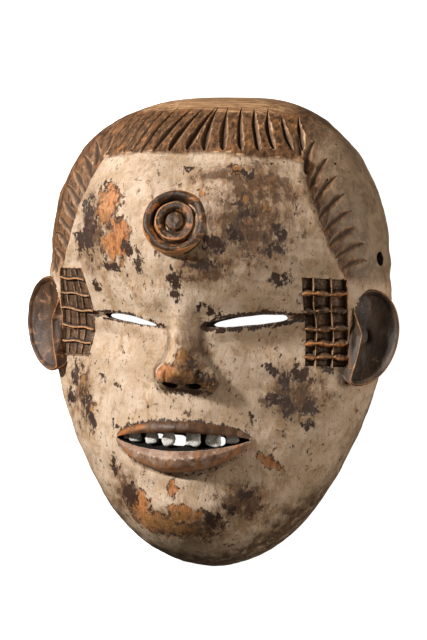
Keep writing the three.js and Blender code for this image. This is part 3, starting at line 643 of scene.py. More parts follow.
# windows through the back of the pocket, between the teeth: (x, y, half width, half height)
windows = [(-15.8, -55.6, 3.7, 1.3), (-4.4, -57.2, 5.3, 2.9), (17.3, -56.6, 2.8, 2.4)]
windowCut = dict(sides=36, squareX=0.5, squareY=0.8, levels=(150.0, 10.0))


# a cosine or sine drawn out towards a square by a power below 1
def squarish(v, power):
    return np.sign(v) * np.abs(v) ** power


# each window is a rounded oblong pushed through the wood
def mouthWindows():
    angle = fullTurn(windowCut["sides"])
    stacks = []
    for x, y, halfX, halfY in windows:
        wide = x + halfX * squarish(np.cos(angle), windowCut["squareX"])
        tall = y + halfY * squarish(np.sin(angle), windowCut["squareY"])
        levels = [np.column_stack([wide, tall, np.full_like(wide, z)]) for z in windowCut["levels"]]
        stacks.append(np.array(levels))
    return tubes("mouth window", stacks, partOf["slit"])


nostril = dict(
    x=6.2, y=-29.6, above=5.0, tilt=35.0, radius=3.4, wide=1.35, tall=1.05, depth=12.0, clear=5.0,
    sides=28, levels=12, endShare=0.02, lobe=0.06,
)


# a bore that opens under the wing of the nose and runs up and back into it, with a round end
def nostrilBore(side):
    n = nostril
    angle = fullTurn(n["sides"])
    along = np.linspace(0, 1, n["levels"])[:, None]
    narrow = np.sqrt(np.clip(1 - along**3, n["endShare"], 1))
    radius = n["radius"] * narrow * (1 + n["lobe"] * np.sin(3 * angle))
    local = np.stack([
        n["wide"] * radius * np.cos(angle),
        n["depth"] * along - n["clear"] + 0 * angle,
        n["tall"] * radius * np.sin(angle),
    ], -1)
    lean = math.radians(n["tilt"])
    cos, sin = math.cos(lean), math.sin(lean)
    turned = local @ np.array([[1, 0, 0], [0, cos, -sin], [0, sin, cos]])
    x = nose["leanTip"] + side * n["x"]
    return turned + [x, n["y"], frontHeight(x, n["y"]) + n["above"]]


block = dict(
    inX=57.5, outX=78.0, lowY=-16.2, highY=30.0, rise=1.6, sunk=6.0, columns=58, rows=122, slant=0.09,
    bend=5.5, bendTop=0.9, bendIn=1.2,  # the curved inner edge on the left
    leafRound=2.2, edgeRound=0.6, leafLeast=0.75, leafMore=0.9, leafPower=1.2,
    leafWander=(0.35, 9, 2.1), uprightWander=(0.25, 11, 1.3),  # (distance, waves, shift from bar to bar)
    leafHeight=(0.86, 0.14, 1.7),  # (least, more, shift from bar to bar)
    uprightHalf=0.55, wallAt=(1.0, 0.4), outerWall=0.8, wall=0.45, outerWallWide=1.5,
    dent=0.12, dentLength=2.5, dentSeed=31, backStride=8,
)
blockRoom = dict(acrossFrom=0.02, upFrom=0.01, columns=12, rows=24, above=7.0, depth=4.4)
# places of the bars as shares of the block: across from the inner edge, and up from the bottom
rightBars = dict(
    across=[0.26, 0.645], up=[0.112, 0.256, 0.415, 0.614, 0.814],
    leaf=1.0, wide=1.25, upright=0.72, cellDepth=3.2,
)
leftBars = dict(
    across=[0.3, 0.52, 0.8], up=[0.155, 0.315, 0.51, 0.69, 0.87],
    leaf=0.15, wide=0.95, upright=0.4, cellDepth=2.2,
)


# the inner edge of a block: straight on the right, curved on the left
def blockInner(side, t):
    curve = block["bend"] * (2 * t - block["bendTop"]) ** 2 - block["bendIn"]
    return block["inX"] + (0 if side > 0 else curve)


# where the block's grid lies: s runs across from the inner edge, t from the bottom up
def blockPlace(side, s, t):
    y = block["lowY"] + (block["highY"] - block["lowY"]) * t
    inner = blockInner(side, t)
    x = inner + (block["outX"] - inner) * s
    return side * x, y + block["slant"] * (x - block["inX"]) * np.sin(math.pi * t)


# bars stand between sunk cells: thin uprights, and cross bars that swell like leaves between them
def blockRise(side, s, t):
    bars = rightBars if side > 0 else leftBars
    wide = block["outX"] - block["inX"]
    tall = block["highY"] - block["lowY"]
    edge = np.minimum(np.minimum(s, 1 - s) * wide, np.minimum(t, 1 - t) * tall)
    stops = np.array([0, *bars["across"], 1])
    between = np.clip(np.searchsorted(stops, s, side="right") - 1, 0, len(stops) - 2)
    along = (s - stops[between]) / (stops[between + 1] - stops[between])
    leaf = np.sin(math.pi * np.clip(along, 0, 1)) ** block["leafPower"]
    swell = block["leafLeast"] + bars["leaf"] * block["leafMore"] * leaf
    up = np.zeros_like(s)
    for number, place in enumerate(bars["up"]):
        far, count, shift = block["leafWander"]
        d = (t - place) * tall + far * np.sin(s * count + number * shift)
        cross = np.clip(1 - (np.abs(d) / (swell * bars["wide"])) ** block["leafRound"], 0, None)
        least, more, shift = block["leafHeight"]
        up = np.maximum(up, cross ** block["edgeRound"] * (least + more * np.sin(number * shift)))
    for number, place in enumerate(bars["across"]):
        far, count, shift = block["uprightWander"]
        d = (s - place) * wide + far * np.sin(t * count + number * shift)
        upright = np.clip(1 - (np.abs(d) / block["uprightHalf"]) ** 2, 0, None)
        up = np.maximum(up, bars["upright"] * upright ** block["edgeRound"])
    wallHeight = np.where((1 - s) * wide < block["outerWallWide"], block["outerWall"], block["wall"])
    up = np.maximum(up, smoothstep(*block["wallAt"], edge) * wallHeight)
    return block["rise"] - bars["cellDepth"] * (1 - up)


# the block itself: its bars and cells in front, and a sunk back that joins it to the wood
def blockSlab(side):
    s, t = np.meshgrid(np.linspace(0, 1, block["columns"]), np.linspace(0, 1, block["rows"]))
    x, y = blockPlace(side, s, t)
    dents = block["dent"] * waves(basePoint(x, y), block["dentLength"], block["dentSeed"])
    top = facePoint(x, y, blockRise(side, s, t) + dents)
    x, y = (v[:, :: -block["backStride"]] for v in (x, y))
    under = facePoint(x, y, np.full_like(x, -block["sunk"]))
    return tubes("temple block", [np.concatenate([top, under], 1)], partOf["block"])


# a pocket just inside the block's outline, so that its cells can lie below the face
def blockPocket(side):
    room = blockRoom
    s, t = np.meshgrid(
        np.linspace(room["acrossFrom"], 1 - room["acrossFrom"], room["columns"]),
        np.linspace(room["upFrom"], 1 - room["upFrom"], room["rows"]),
    )
    x, y = blockPlace(side, s, t)
    high = facePoint(x, y, np.full_like(x, room["above"]))
    low = facePoint(x[:, ::-1], y[:, ::-1], np.full_like(x, -room["depth"]))
    return tubes("temple pocket", [np.concatenate([high, low], 1)], partOf["block"])


ear = dict(
    rootX=79.0, rootY=0.2, rootZ=45.0, tilt=30.0, centre=8.0, outHalf=18.5, inHalf=12.0, tall=25.2, skew=0.12,
    round=2.6, raised=0.8, dish=5.0, back=9.0, rootSunk=9.0, rootAt=(2, -5), around=120,
    rim=0.7, rimShare=0.94, rimHalf=0.06, edgeAt=(1, 0.965), smoothFrom=0.99,
    pit=4.2, pitOut=10, pitUp=0.5, pitHalfOut=2.0, pitHalfUp=2.6,
    frontShares=[0.03, *np.linspace(0.07, 0.8, 22), *np.linspace(0.82, 0.985, 12), 1.0],
    backShares=[0.985, 0.95, 0.9, 0.83, 0.75, 0.65, 0.5, 0.35, 0.15],
    dent=0.12, dentLength=9, dentSeed=41,
)
# the bent ridge: it stands furthest out near the middle and runs in towards both ends
earRidge = dict(
    out=6.5, bendUp=5.5, bendDown=4, middle=1, upLength=14, downLength=20, mostUp=1.5, mostDown=1.4,
    power=1.2, dishAt=(-0.3, 1.2), inner=1.6, innerAt=(0, -3.5), right=1.1, left=0.5, inside=0.5, half=0.8,
    footAt=(-19, -15), topAt=(19, 14),
)


# front of the ear: a dish with a raised rim, a thin bent ridge before it and a pit behind the ridge.
# a runs out from the root, b up, and rho is the share of the way from the middle to the edge
def earFront(a, b, rho, side):
    r = earRidge
    high = np.clip((b - r["middle"]) / r["upLength"], 0, r["mostUp"]) ** r["power"]
    low = np.clip((r["middle"] - b) / r["downLength"], 0, r["mostDown"]) ** r["power"]
    beyond = a - (r["out"] - r["bendUp"] * high - r["bendDown"] * low)
    outside = smoothstep(*r["dishAt"], beyond)
    dish = -ear["dish"] * np.clip(1 - rho ** ear["round"], 0, None) * outside
    inner = -r["inner"] * smoothstep(*r["innerAt"], beyond) * (1 - outside)
    line = (r["right"] if side > 0 else r["left"]) * bell(beyond + r["inside"], r["half"])
    line = line * smoothstep(*r["footAt"], b) * smoothstep(*r["topAt"], b)
    fromRim = (rho - ear["rimShare"]) / ear["rimHalf"]
    rim = ear["rim"] * np.sqrt(np.clip(1 - fromRim**2, 0, None)) * outside
    pit = -ear["pit"] * bell(a - ear["pitOut"], ear["pitHalfOut"]) * bell(b - ear["pitUp"], ear["pitHalfUp"])
    return dish + inner + line + rim + pit + ear["raised"]


# the ear as rings from its middle over the front to the edge, and back behind to the middle
def earSolid(side):
    angle = fullTurn(ear["around"])
    lean = math.radians(ear["tilt"])
    rings = []
    for rho in [*ear["frontShares"], *ear["backShares"]]:
        b = ear["tall"] * rho * np.sin(angle)
        half = np.where(np.cos(angle) > 0, ear["outHalf"], ear["inHalf"])
        a = ear["centre"] + half * rho * np.cos(angle) + ear["skew"] * b
        if len(rings) < len(ear["frontShares"]):
            dents = ear["dent"] * waves(np.stack([a, b, 0 * a], -1), ear["dentLength"], ear["dentSeed"])
            relief = earFront(a, b, rho, side) * smoothstep(*ear["edgeAt"], rho)
            relief = relief + dents * (rho < ear["smoothFrom"])
        else:
            relief = -ear["back"] * math.sqrt(1 - rho ** ear["round"]) + 0 * a
        w = relief - ear["rootSunk"] * smoothstep(*ear["rootAt"], a)
        x = ear["rootX"] + a * math.cos(lean) + w * math.sin(lean)
        z = ear["rootZ"] - a * math.sin(lean) + w * math.cos(lean)
        rings.append(np.stack([side * x, ear["rootY"] + b, z], -1))
    return tubes("ear", [np.array(rings)], partOf["ear"])


# grooves of the crown: foot and tip in x and y, half width and depth
crownGrooves = [
    (-61, 98, -56, 111, 1.1, 1.2), (-57, 96, -50, 112, 1.1, 1.2), (-52, 93, -44.5, 113.5, 1.2, 1.3),
    (-46, 91.5, -38, 115.5, 1.3, 1.4), (-40, 90, -32, 117, 1.4, 1.5), (-34.6, 90.3, -26, 117.3, 1.5, 1.6),
    (-29, 90, -19.5, 117, 1.6, 1.8), (-21.8, 91, -11.4, 116.6, 2.0, 2.1),
    (-13.5, 91.1, -5.6, 116.2, 2.2, 2.3), (-4.6, 92, 0.8, 117, 2.3, 2.4), (5.3, 91.9, 1.9, 117, 2.3, 2.5),
    (15.5, 92.5, 7.2, 116.9, 2.4, 2.6), (24.8, 92.7, 14.4, 117.1, 2.4, 2.6),
    (33.3, 92.8, 21.1, 117, 2.2, 2.5), (40, 93.9, 27.6, 118, 2.1, 2.4), (48.4, 94.3, 35.7, 114.7, 2.0, 2.3),
    (53.2, 94.7, 43.6, 114, 1.8, 2.2),
]
# feet and tips of the leaf-shaped notches beside the face panel, from the crown downwards
rightNotchFeet = [
    (54, 90.5), (57.6, 83.5), (60.8, 75.5), (63.8, 67.6), (66.4, 59.8), (69, 52.4), (71.4, 45.2),
    (73.6, 38.8), (76.4, 33.2),
]
rightNotchTips = [
    (46.6, 109), (56.2, 100.6), (64.6, 92.5), (71.2, 83.6), (75.8, 74), (79.8, 65.2), (83, 56.8),
    (85.4, 48.4), (87.2, 39.6),
]
leftNotchFeet = [
    (60.2, 84), (60, 76.4), (62.2, 68.2), (64.6, 60), (67.4, 52.4), (70.2, 45), (73, 38.2), (76, 32),
    (80.4, 27.2),
]
leftNotchTips = [
    (64.6, 98), (71, 90.6), (75, 82.2), (77.8, 73.6), (80, 65), (81.8, 56.6), (84, 48.2), (86.4, 40),
    (88.8, 32.8),
]
hairCut = dict(
    above=1.4, notchHalf=2.7, notchDepth=1.5, crownDepth=0.95, floor=0.1, overlap=0.05,
    shallowest=0.6, shallowOver=(2, 8),  # the right notches grow shallower between these two
    stations=17, endShare=0.012, bow=0.5, powers=1.5, fullness=0.75,
    uneven=0.07, unevenWaves=(9, 16), unevenStart=(0, 6), vary=(0.9, 1.1),
    crownSwell=0.5, notchSwell=0.75, lean=0.5, crownSeed=100, rightSeed=200, leftSeed=300,
)


# a V cut shaped like a leaf that follows the surface between two places. swell puts its widest
# place nearer the start, and lean shifts the deepest line to one side
def leafCut(start, end, half, depth, swell, lean, seed, side=1):
    h = hairCut
    random = np.random.default_rng(seed)
    t = h["endShare"] + (1 - 2 * h["endShare"]) * np.linspace(0, 1, h["stations"])
    start = np.array(start) * [side, 1]
    end = np.array(end) * [side, 1]
    place = start + (end - start) * t[:, None]
    bow = random.uniform(-h["bow"], h["bow"])
    sideways = np.array([-(end - start)[1], (end - start)[0]])
    place = place + sideways / np.linalg.norm(sideways) * (bow * np.sin(math.pi * t))[:, None]
    x, y = place.T
    shape = t**swell * (1 - t) ** (h["powers"] - swell)
    shape = (shape / shape.max()) ** h["fullness"]
    turns = t * random.uniform(*h["unevenWaves"]) + random.uniform(*h["unevenStart"])
    shape = shape * (1 + h["uneven"] * np.sin(turns))
    half = half * random.uniform(*h["vary"])
    depth = depth * random.uniform(*h["vary"])
    up = baseNormal(x, y)
    at = basePoint(x, y) + up * hairRelief(x, y)[:, None]
    heading = np.gradient(at, axis=0)
    across = np.cross(up, heading)
    across /= np.linalg.norm(across, axis=-1, keepdims=True)
    above = h["above"]
    slope = above / depth
    wide = half * shape * (1 + slope) + h["overlap"]
    left = wide + lean * half * shape * slope
    right = wide - lean * half * shape * slope
    deep = at - up * (depth * shape)[:, None] + across * (lean * half * shape)[:, None]
    rings = np.stack([
        at + up * above + across * left[:, None],
        at + up * above - across * right[:, None],
        deep - across * h["floor"],
        deep + across * h["floor"],
    ], 1)
    return settle(rings)


# neighbouring cuts go into different groups, because the cuts of one group may not overlap
def hairCuts():
    h = hairCut
    groups = [[], []]
    for i, (footX, footY, tipX, tipY, half, depth) in enumerate(crownGrooves):
        depth = depth * h["crownDepth"]
        foot, tip, seed = (footX, footY), (tipX, tipY), h["crownSeed"] + i
        cut = leafCut(foot, tip, half, depth, h["crownSwell"], h["lean"], seed)
        groups[i % 2].append(cut)
    for i, (foot, tip) in enumerate(zip(rightNotchFeet, rightNotchTips)):
        depth = h["notchDepth"] * np.interp(i, h["shallowOver"], (1, h["shallowest"]))
        cut = leafCut(foot, tip, h["notchHalf"], depth, h["notchSwell"], h["lean"], h["rightSeed"] + i)
        groups[(i + 1) % 2].append(cut)
    for i, (foot, tip) in enumerate(zip(leftNotchFeet, leftNotchTips)):
        half, depth, seed = h["notchHalf"], h["notchDepth"], h["leftSeed"] + i
        cut = leafCut(foot, tip, half, depth, h["notchSwell"], -h["lean"], seed, -1)
        groups[(i + 1) % 2].append(cut)
    return [tubes("hair cuts", group, partOf["hair"]) for group in groups]


# round holes of insects and one nail: (x, y, radius, depth), drilled along the surface's own direction
smallHoles = [
    (53.3, -91.9, 0.75, 6), (43.9, 98.3, 0.7, 4), (66, 100, 0.6, 4), (68.7, 90.1, 0.7, 5),
    (78.8, 87.1, 0.5, 4), (61.7, 88.6, 0.5, 4), (67.4, 81.3, 0.6, 4), (40.2, 87, 0.6, 4),
    (45.5, 88.2, 0.55, 4),
]
smallHoleCut = dict(sides=10, above=2.0)
cordHole = dict(
    y=41.5, z=32.0, radius=3.6, fromX=70.0, toX=112.0, sides=36, levels=9,
    oval=0.05, ovalStart=0.4, wornWider=0.2, wornAt=(92, 97),  # the cord has worn the mouth of the hole
)


def drilledHoles():
    stacks = []
    angle = fullTurn(smallHoleCut["sides"])
    for x, y, radius, depth in smallHoles:
        place = np.array(x), np.array(y)
        at = settle(basePoint(*place))
        out = baseNormal(*place)
        one = np.cross(out, [0, 0, 1.0])
        one /= np.linalg.norm(one)
        two = np.cross(out, one)
        ring = radius * (np.cos(angle)[:, None] * one + np.sin(angle)[:, None] * two)
        stacks.append(np.array([at + ring - out * depth, at + ring + out * smallHoleCut["above"]]))
    c = cordHole
    angle = fullTurn(c["sides"])
    for side in (1, -1):
        along = np.linspace(c["fromX"], c["toX"], c["levels"])[:, None]
        worn = c["wornWider"] * smoothstep(*c["wornAt"], along)
        radius = c["radius"] * (1 + c["oval"] * np.sin(2 * angle + c["ovalStart"]) + worn)
        y = c["y"] + radius * np.cos(angle)
        z = c["z"] + radius * np.sin(angle)
        stacks.append(np.stack([side * along + 0 * y, y, z], -1))
    return tubes("drilled holes", stacks, partOf["hole"])


peg = dict(
    clearance=0.3, depth=3.8, setBack=6.8, rootLength=4.5, rootShare=0.72, square=0.6, tipCloser=1.4,
    sides=28, levels=22, socketSides=24, socketFrom=2.5, socketShares=(0.94, 0.84),
    dent=0.16, dentLength=4.5, nick=0.07, nickLength=1.6, dentAt=(0.8, 0.5), dentWidth=6, dentAcross=0.5,
    chip=0.35, chipLength=6, chipAt=(0.3, 0), dentSeed=500, nickSeed=520, chipSeed=540,
    shadeAt=(-3.6, 0.4),  # the pegs darken towards the root, from below the lip's edge to above it
)
# teeth: (x, width, drop below the upper lip, stain)
teeth = [
    (-34.7, 3.2, 3.2, 0.35), (-28.6, 7.0, 5.2, 0.15), (-17.8, 7.0, 7.4, 0.1), (-7.6, 7.2, 8.8, 0.25),
    (5.6, 8.0, 8.6, 0.15), (15.5, 8.2, 8.2, 0.6), (24.6, 7.4, 6.2, 0.85),
]


def roundedSquare(angle):
    return [squarish(v, peg["square"]) for v in (np.cos(angle), np.sin(angle))]


# the lip's edge above a tooth, and the depth at which the tooth stands
def toothPlace(x):
    top = float(mouthEdges(np.array(x))[1])
    return top, frontHeight(x, top + 1) - peg["setBack"]


def toothSockets():
    stacks = []
    across, deep = roundedSquare(fullTurn(peg["socketSides"]))
    for x, width, drop, stain in teeth:
        top, z = toothPlace(x)
        rings = []
        heights = (top - peg["socketFrom"], top, top + peg["rootLength"] + peg["clearance"])
        for y, share in zip(heights, (*peg["socketShares"], peg["rootShare"])):
            halfX = width / 2 * share + peg["clearance"]
            halfZ = peg["depth"] / 2 * share + peg["clearance"]
            rings.append(np.stack([x + halfX * across, y + 0 * across, z + halfZ * deep], -1))
        stacks.append(np.array(rings))
    return tubes("sockets", stacks, partOf["slit"])


# how full a peg is on its way up: (share of the way from the tip to the root, share of its width)
pegProfile = [
    (0, 0.5), (0.02, 0.72), (0.07, 0.9), (0.18, 1.0), (0.34, 0.96), (0.55, 0.86), (0.75, 0.77), (1, 0.72),
]


# a hand-cut peg: a rounded square section carried up from the tip to the root. It swells above the
# tip, draws in under the lip, and chips and dents make every peg different
def toothPeg(number):
    x, width, drop, stain = teeth[number]
    top, z = toothPlace(x)
    levels = np.linspace(0, 1, peg["levels"]) ** peg["tipCloser"]
    share, angle = np.meshgrid(levels, fullTurn(peg["sides"]), indexing="ij")
    across, deep = roundedSquare(angle)
    full = curveThrough(pegProfile, share)
    low = top - drop
    y = low + (top + peg["rootLength"] - low) * share
    points = np.stack([width / 2 * full * across, y - low, peg["depth"] / 2 * full * deep], -1)
    dents = peg["dent"] * waves(points, peg["dentLength"], peg["dentSeed"] + number)
    dents = dents + peg["nick"] * waves(points, peg["nickLength"], peg["nickSeed"] + number)
    dents = dents * smoothstep(*peg["dentAt"], share) * peg["dentWidth"] / width
    points[..., 0] = points[..., 0] * (1 + dents * peg["dentAcross"])
    points[..., 2] = points[..., 2] * (1 + dents)
    chips = peg["chip"] * waves(points * [1, 0, 0], peg["chipLength"], peg["chipSeed"] + number)
    points[..., 1] += chips * smoothstep(*peg["chipAt"], share)
    name = f"toothPeg{number + 1}"
    piece = tubes(name, [points + [x, low, z]], partOf["tooth"])
    aboveLip = meshPoints(piece.data)[:, 1] - top
    setMark(piece.data, "up", smoothstep(*peg["shadeAt"], aboveLip))
    setMark(piece.data, "stain", np.full(len(aboveLip), stain))
    return piece


def meshPoints(mesh):
    points = np.empty(len(mesh.vertices) * 3, np.float32)
    mesh.vertices.foreach_get("co", points)
    return points.reshape(-1, 3).astype(float)


def setMark(mesh, name, values):
    mark = mesh.attributes.new(name, "FLOAT", "POINT")
    mark.data.foreach_set("value", np.asarray(values, np.float32))


# two faces back to back on the same corners enclose nothing, so both go. They are found by the sums
# of their corners' numbers and of the squares and cubes of these
def dropTwins(mesh):
    corners = np.empty(len(mesh.loops), np.int64)
    mesh.loops.foreach_get("vertex_index", corners)
    starts = np.empty(len(mesh.polygons), np.int32)
    mesh.polygons.foreach_get("loop_start", starts)
    sums = np.stack([np.add.reduceat(corners**power, starts) for power in (1, 2, 3)], 1)
    group, count = np.unique(sums, axis=0, return_inverse=True, return_counts=True)[1:]
    work = bmesh.new()
    work.from_mesh(mesh)
    work.faces.ensure_lookup_table()
    twins = [work.faces[i] for i in np.flatnonzero(count[group.ravel()] > 1)]
    bmesh.ops.delete(work, geom=twins, context="FACES")
    work.to_mesh(mesh)
    work.free()


def maskPiece():
    grid = eggGrid(shell["columns"], shell["rows"], facePoint)
    piece = gridSolid("idomaMask", grid, shell["skirtZ"], partOf["outer"])
    print("face grid", len(piece.data.polygons), "faces")
    grid = eggGrid(shell["hollowColumns"], shell["hollowRows"], hollowPoint)
    hollow = gridSolid("hollow", grid, shell["hollowSkirtZ"], partOf["hollow"])
    square = np.array([[-1, -1], [1, -1], [1, 1], [-1, 1]]) * shell["groundHalf"]
    ground = prism("ground", [square, square], (shell["groundBottom"], 0), partOf["hollow"])
    for side in (1, -1):
        carve(piece, earSolid(side), "UNION")
    for roll in (foreheadDisc(), upperLip(), lowerLip()):
        carve(piece, roll, "UNION")
    for side, eye in ((1, rightEye), (-1, leftEye)):
        carve(piece, blockPocket(side), "DIFFERENCE")
        carve(piece, blockSlab(side), "UNION")
        carve(piece, eyeSlit(eye, side), "DIFFERENCE")
    print("ears, disc, lips, temple blocks and slits in place")
    nostrils = tubes("nostrils", [nostrilBore(1), nostrilBore(-1)], partOf["hole"])
    cuts = [mouthPocket(), mouthWindows(), toothSockets(), nostrils, *hairCuts()]
    for tool in [*cuts, hollow, ground, drilledHoles()]:
        carve(piece, tool, "DIFFERENCE")
    dropTwins(piece.data)
    print("mouth, nostrils, hair, hollow and holes cut:", len(piece.data.polygons), "faces")
    return piece


# fits a finished mesh, in millimetres, to the box of its CAD node, in metres
def fitToNode(piece, node):
    points = meshPoints(piece.data)
    low, high = (np.array(corner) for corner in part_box(node))
    start, size = points.min(0), np.ptp(points, axis=0)
    print("fit", node, "scale", np.round((high - low) * 1000 / size, 4))
    placed = low + (points - start) * (high - low) / size
    piece.data.vertices.foreach_set("co", placed.astype(np.float32).ravel())
    piece.data.update()


# Where the paint is gone: (x, y, half width, half height). Bare spots show orange wood,
# dark spots the old black-brown layer, and washed ones a thin brown stain. The long dark spot
# under the nose also paints shade on its underside.
spotReach = 1.3  # a spot fades out at this share of its half width and height
bareSpots = [
    (-37, 45, 11.4, 12), (-44, 60, 9, 9), (-43, 68, 8, 6), (6, 36, 4, 2.2), (-2, -22.5, 13, 5.4),
    (3, -26, 17, 3.6), (4, -14, 3.4, 6), (14, -28.5, 4, 2), (1.4, -96, 13, 5.5), (-5, -103, 19, 4.5),
    (-26, -92, 8, 9), (-5, -82.6, 4, 4), (31.5, 68, 3.4, 3.6), (41, 64, 2.6, 2.6), (9.4, 70, 3, 2.6),
    (24, 82.4, 4, 2.7), (41, -64.5, 4, 2.6), (45, -68, 4, 2.6), (-63, -30, 2, 8), (-57, -46, 2, 8),
    (-19, -100, 10, 6),
]
darkSpots = [
    (-56, 52, 4.5, 17), (-62, 43.5, 4, 8), (-41, 30.6, 7, 3), (-23, 32, 3, 5.5), (18, 44.5, 6, 5.6),
    (12, 33.4, 10, 3.4), (-2, 24.4, 4.4, 7), (-1, 16.4, 2.3, 3.9), (27.6, 50, 4.3, 5.2),
    (44.4, 43.2, 5.6, 4), (48.8, 51.9, 4.2, 4), (32, 60, 6.2, 5), (29.7, 81.6, 5.4, 3.2), (48, 27, 6, 3),
    (-52.6, 21.7, 3.7, 2.6), (-68.5, -26.4, 3, 7.5), (-72.4, -38.9, 4.4, 5.4), (-60.5, -41.4, 3.2, 8.4),
    (-55.8, -50.5, 3, 6.3), (-49.5, -27, 2, 1.6), (-39.7, -30.3, 1.4, 1.4), (56, -20, 7, 3.7),
    (69, -16.7, 5, 2), (49, -23.4, 4, 5.3), (42.4, -18.3, 3.7, 2.5), (45.7, -33.7, 7, 4.7),
    (52.4, -39.9, 4.5, 4.6), (60.3, -36.8, 4.8, 4), (33.3, -43, 1.8, 3.6), (60.6, -46, 3.6, 3.5),
    (15.7, -97.6, 6, 5.4), (30.7, -83.6, 5, 3.7), (24.5, -91, 3.7, 4), (-32, -87, 6, 8.6),
    # (1, -30.5, 15, 3.6) darkens the underside of the nose: its dark wood and painted shade
    (-41, -50.5, 2, 3.6), (-41.6, -72, 3, 6.4), (-30, 40, 3, 5), (1, -30.5, 15, 3.6), (8.5, -18, 2, 3),
    (13, -24, 3.4, 4), (13, 11, 7, 2.4), (7, 58, 3, 3), (0, 83, 3, 2), (53, -14, 4, 2), (-47, 74, 2, 2),
]
washSpots = [
    (32, 56, 28, 24), (36, 73, 22, 15), (14, 33, 17, 9), (6, -14, 7, 15), (8, -26, 13, 7), (0, -101, 26, 9),
    (-36, -88, 10, 16), (24, 80, 20, 6), (-54, 48, 9, 24), (9, 79, 8, 6), (10, 30, 14, 8),
    (-64, -36, 8, 18), (30, -88, 14, 12), (54, -32, 16, 14),
]


# how high the bars of the temple blocks stand at a place, from 0 in the cells to 1
def barMark(x, y):
    high = np.zeros_like(x)
    for side, bars in ((1, rightBars), (-1, leftBars)):
        t = np.clip((y - block["lowY"]) / (block["highY"] - block["lowY"]), 0, 1)
        inner = blockInner(side, t)
        s = np.clip((side * x - inner) / (block["outX"] - inner), 0, 1)
        rise = 1 - (block["rise"] - blockRise(side, s, t)) / bars["cellDepth"]
        high = np.where(side * x > 0, rise, high)
    return high


# how far inside the nearest of the spots each point lies: 1 in the middle, 0 a little way outside
def insideSpots(x, y, spots):
    inside = np.zeros_like(x)
    for spotX, spotY, halfX, halfY in spots:
        inside = np.maximum(inside, spotReach - np.hypot((x - spotX) / halfX, (y - spotY) / halfY))
    return np.clip(inside, 0, 1)


# averages each point with its neighbours a number of times
def softened(points, edges, rounds):
    count = len(points)
    a, b = edges.T
    near = (np.bincount(a, minlength=count) + np.bincount(b, minlength=count))[:, None]
    for _ in range(rounds):
        total = np.stack([np.bincount(a, v[b], count) + np.bincount(b, v[a], count) for v in points.T], -1)
        points = (points + total / near) / 2
    return points


# how far each point stands out from its softened neighbourhood, along its own direction
def standingOut(mesh, points, rounds):
    edges = np.empty(len(mesh.edges) * 2, np.int32)
    mesh.edges.foreach_get("vertices", edges)
    normals = np.empty(len(points) * 3, np.float32)
    mesh.vertices.foreach_get("normal", normals)
    return ((points - softened(points, edges.reshape(-1, 2), rounds)) * normals.reshape(-1, 3)).sum(1)


# how sharp an edge or a hollow counts as worn or dark, finely and broadly seen, and how the outlines
# of the marks drift. Pairs are the values between which a mark comes in or goes out
wear = dict(
    fineRounds=3, fineEdge=(0.02, 0.16), edgeShare=0.6, fineHollow=(-0.03, -0.16), hollowShare=0.75,
    broadRounds=22, broadEdge=(0.1, 0.7), broadHollow=(-0.3, -1.2),
    drift=1.5, driftLength=9, driftSeed=71, shiver=0.6, shiverLength=3.5, shiverSeed=72,
)
# where the lips are rubbed to the wood: at the lower lip's outer edge, most at the left, at the left
# end of the upper one and in worn nicks
lipWear = dict(
    lowerIn=1.5, lowerHalf=1.6, lowerEnds=(0.1, 0.4), least=0.45, more=0.55, moreAt=(12, -4),
    upperIn=1.8, upperHalf=1.8, upperAt=(-12, -25), ends=(0, 0.05),
    nicks=[-4.2, 10.4, 28.6], nick=0.7, nickHalf=0.8, nickAt=(0.5, -0.5),
    aboveUpper=0.2, aboveHalf=1.3, above=0.75, aboveEnds=(0, 0.1), belowLower=0.8, belowHalf=1.1, below=0.5,
)
# the dark crust at the slits, past their outer corners and, on the right, towards the nose
crust = dict(
    over=0.7, under=0.8, comesIn=(7, 12), goesOut=(62, 56),
    tailBelow=1, tailHalf=1.6, tailComes=(52, 56), tailGoes=(64, 58),
    noseBelow=0.6, noseHalf=1.8, noseComes=(15, 12), noseGoes=(7, 10),
)
# the painted shadow beside the face panel's step, stronger on the right, away from the key light;
# the hair, its paler flank and the cut crown
hairMark = dict(
    stepShadowX=1.4, stepShadowHalf=1.3, stepShadowComes=(30, 40), stepShadowGoes=(95, 88), right=0.9, left=0.45,
    drift=0.4, fringeAt=(-0.7, 0.7), sideAt=(-0.6, 0.9), footAt=(25, 33), paleAt=(1, 9), paleGoes=(118, 96),
    crownAt=(113.5, 116.5), crownDrift=0.5, crownX=-4, crownGoes=(52, 34),
)
# heights above the rim up to which the brown band reaches: at the chin, all round and up the right jaw
rimBand = dict(
    chinAt=(46, 32), chinComes=(-70, -100), roundAt=(17, 8),
    jawAt=(38, 22), jawComes=(-20, -50), jaw=0.5, drift=2,
)


def lipEdgeMark(x, y):
    w = lipWear
    lens, top, bottom, lowest, highest = mouthEdges(x)
    rubbed = bell(y - lowest - w["lowerIn"], w["lowerHalf"]) * smoothstep(*w["lowerEnds"], lens)
    rubbed = rubbed * (w["least"] + w["more"] * smoothstep(*w["moreAt"], x))
    rubbed = rubbed + bell(y - highest + w["upperIn"], w["upperHalf"]) * smoothstep(*w["upperAt"], x)
    for place in w["nicks"]:
        rubbed = rubbed + w["nick"] * bell(x - place, w["nickHalf"]) * smoothstep(*w["nickAt"], y - bottom)
    return rubbed * smoothstep(*w["ends"], lens)


# the dark line around the lips
def mouthRimMark(x, y):
    w = lipWear
    lens, top, bottom, lowest, highest = mouthEdges(x)
    above = w["above"] * bell(y - highest - w["aboveUpper"], w["aboveHalf"])
    above = above * smoothstep(*w["aboveEnds"], lens)
    below = w["below"] * bell(y - lowest + w["belowLower"], w["belowHalf"])
    return (above + below) * (lens > 0)


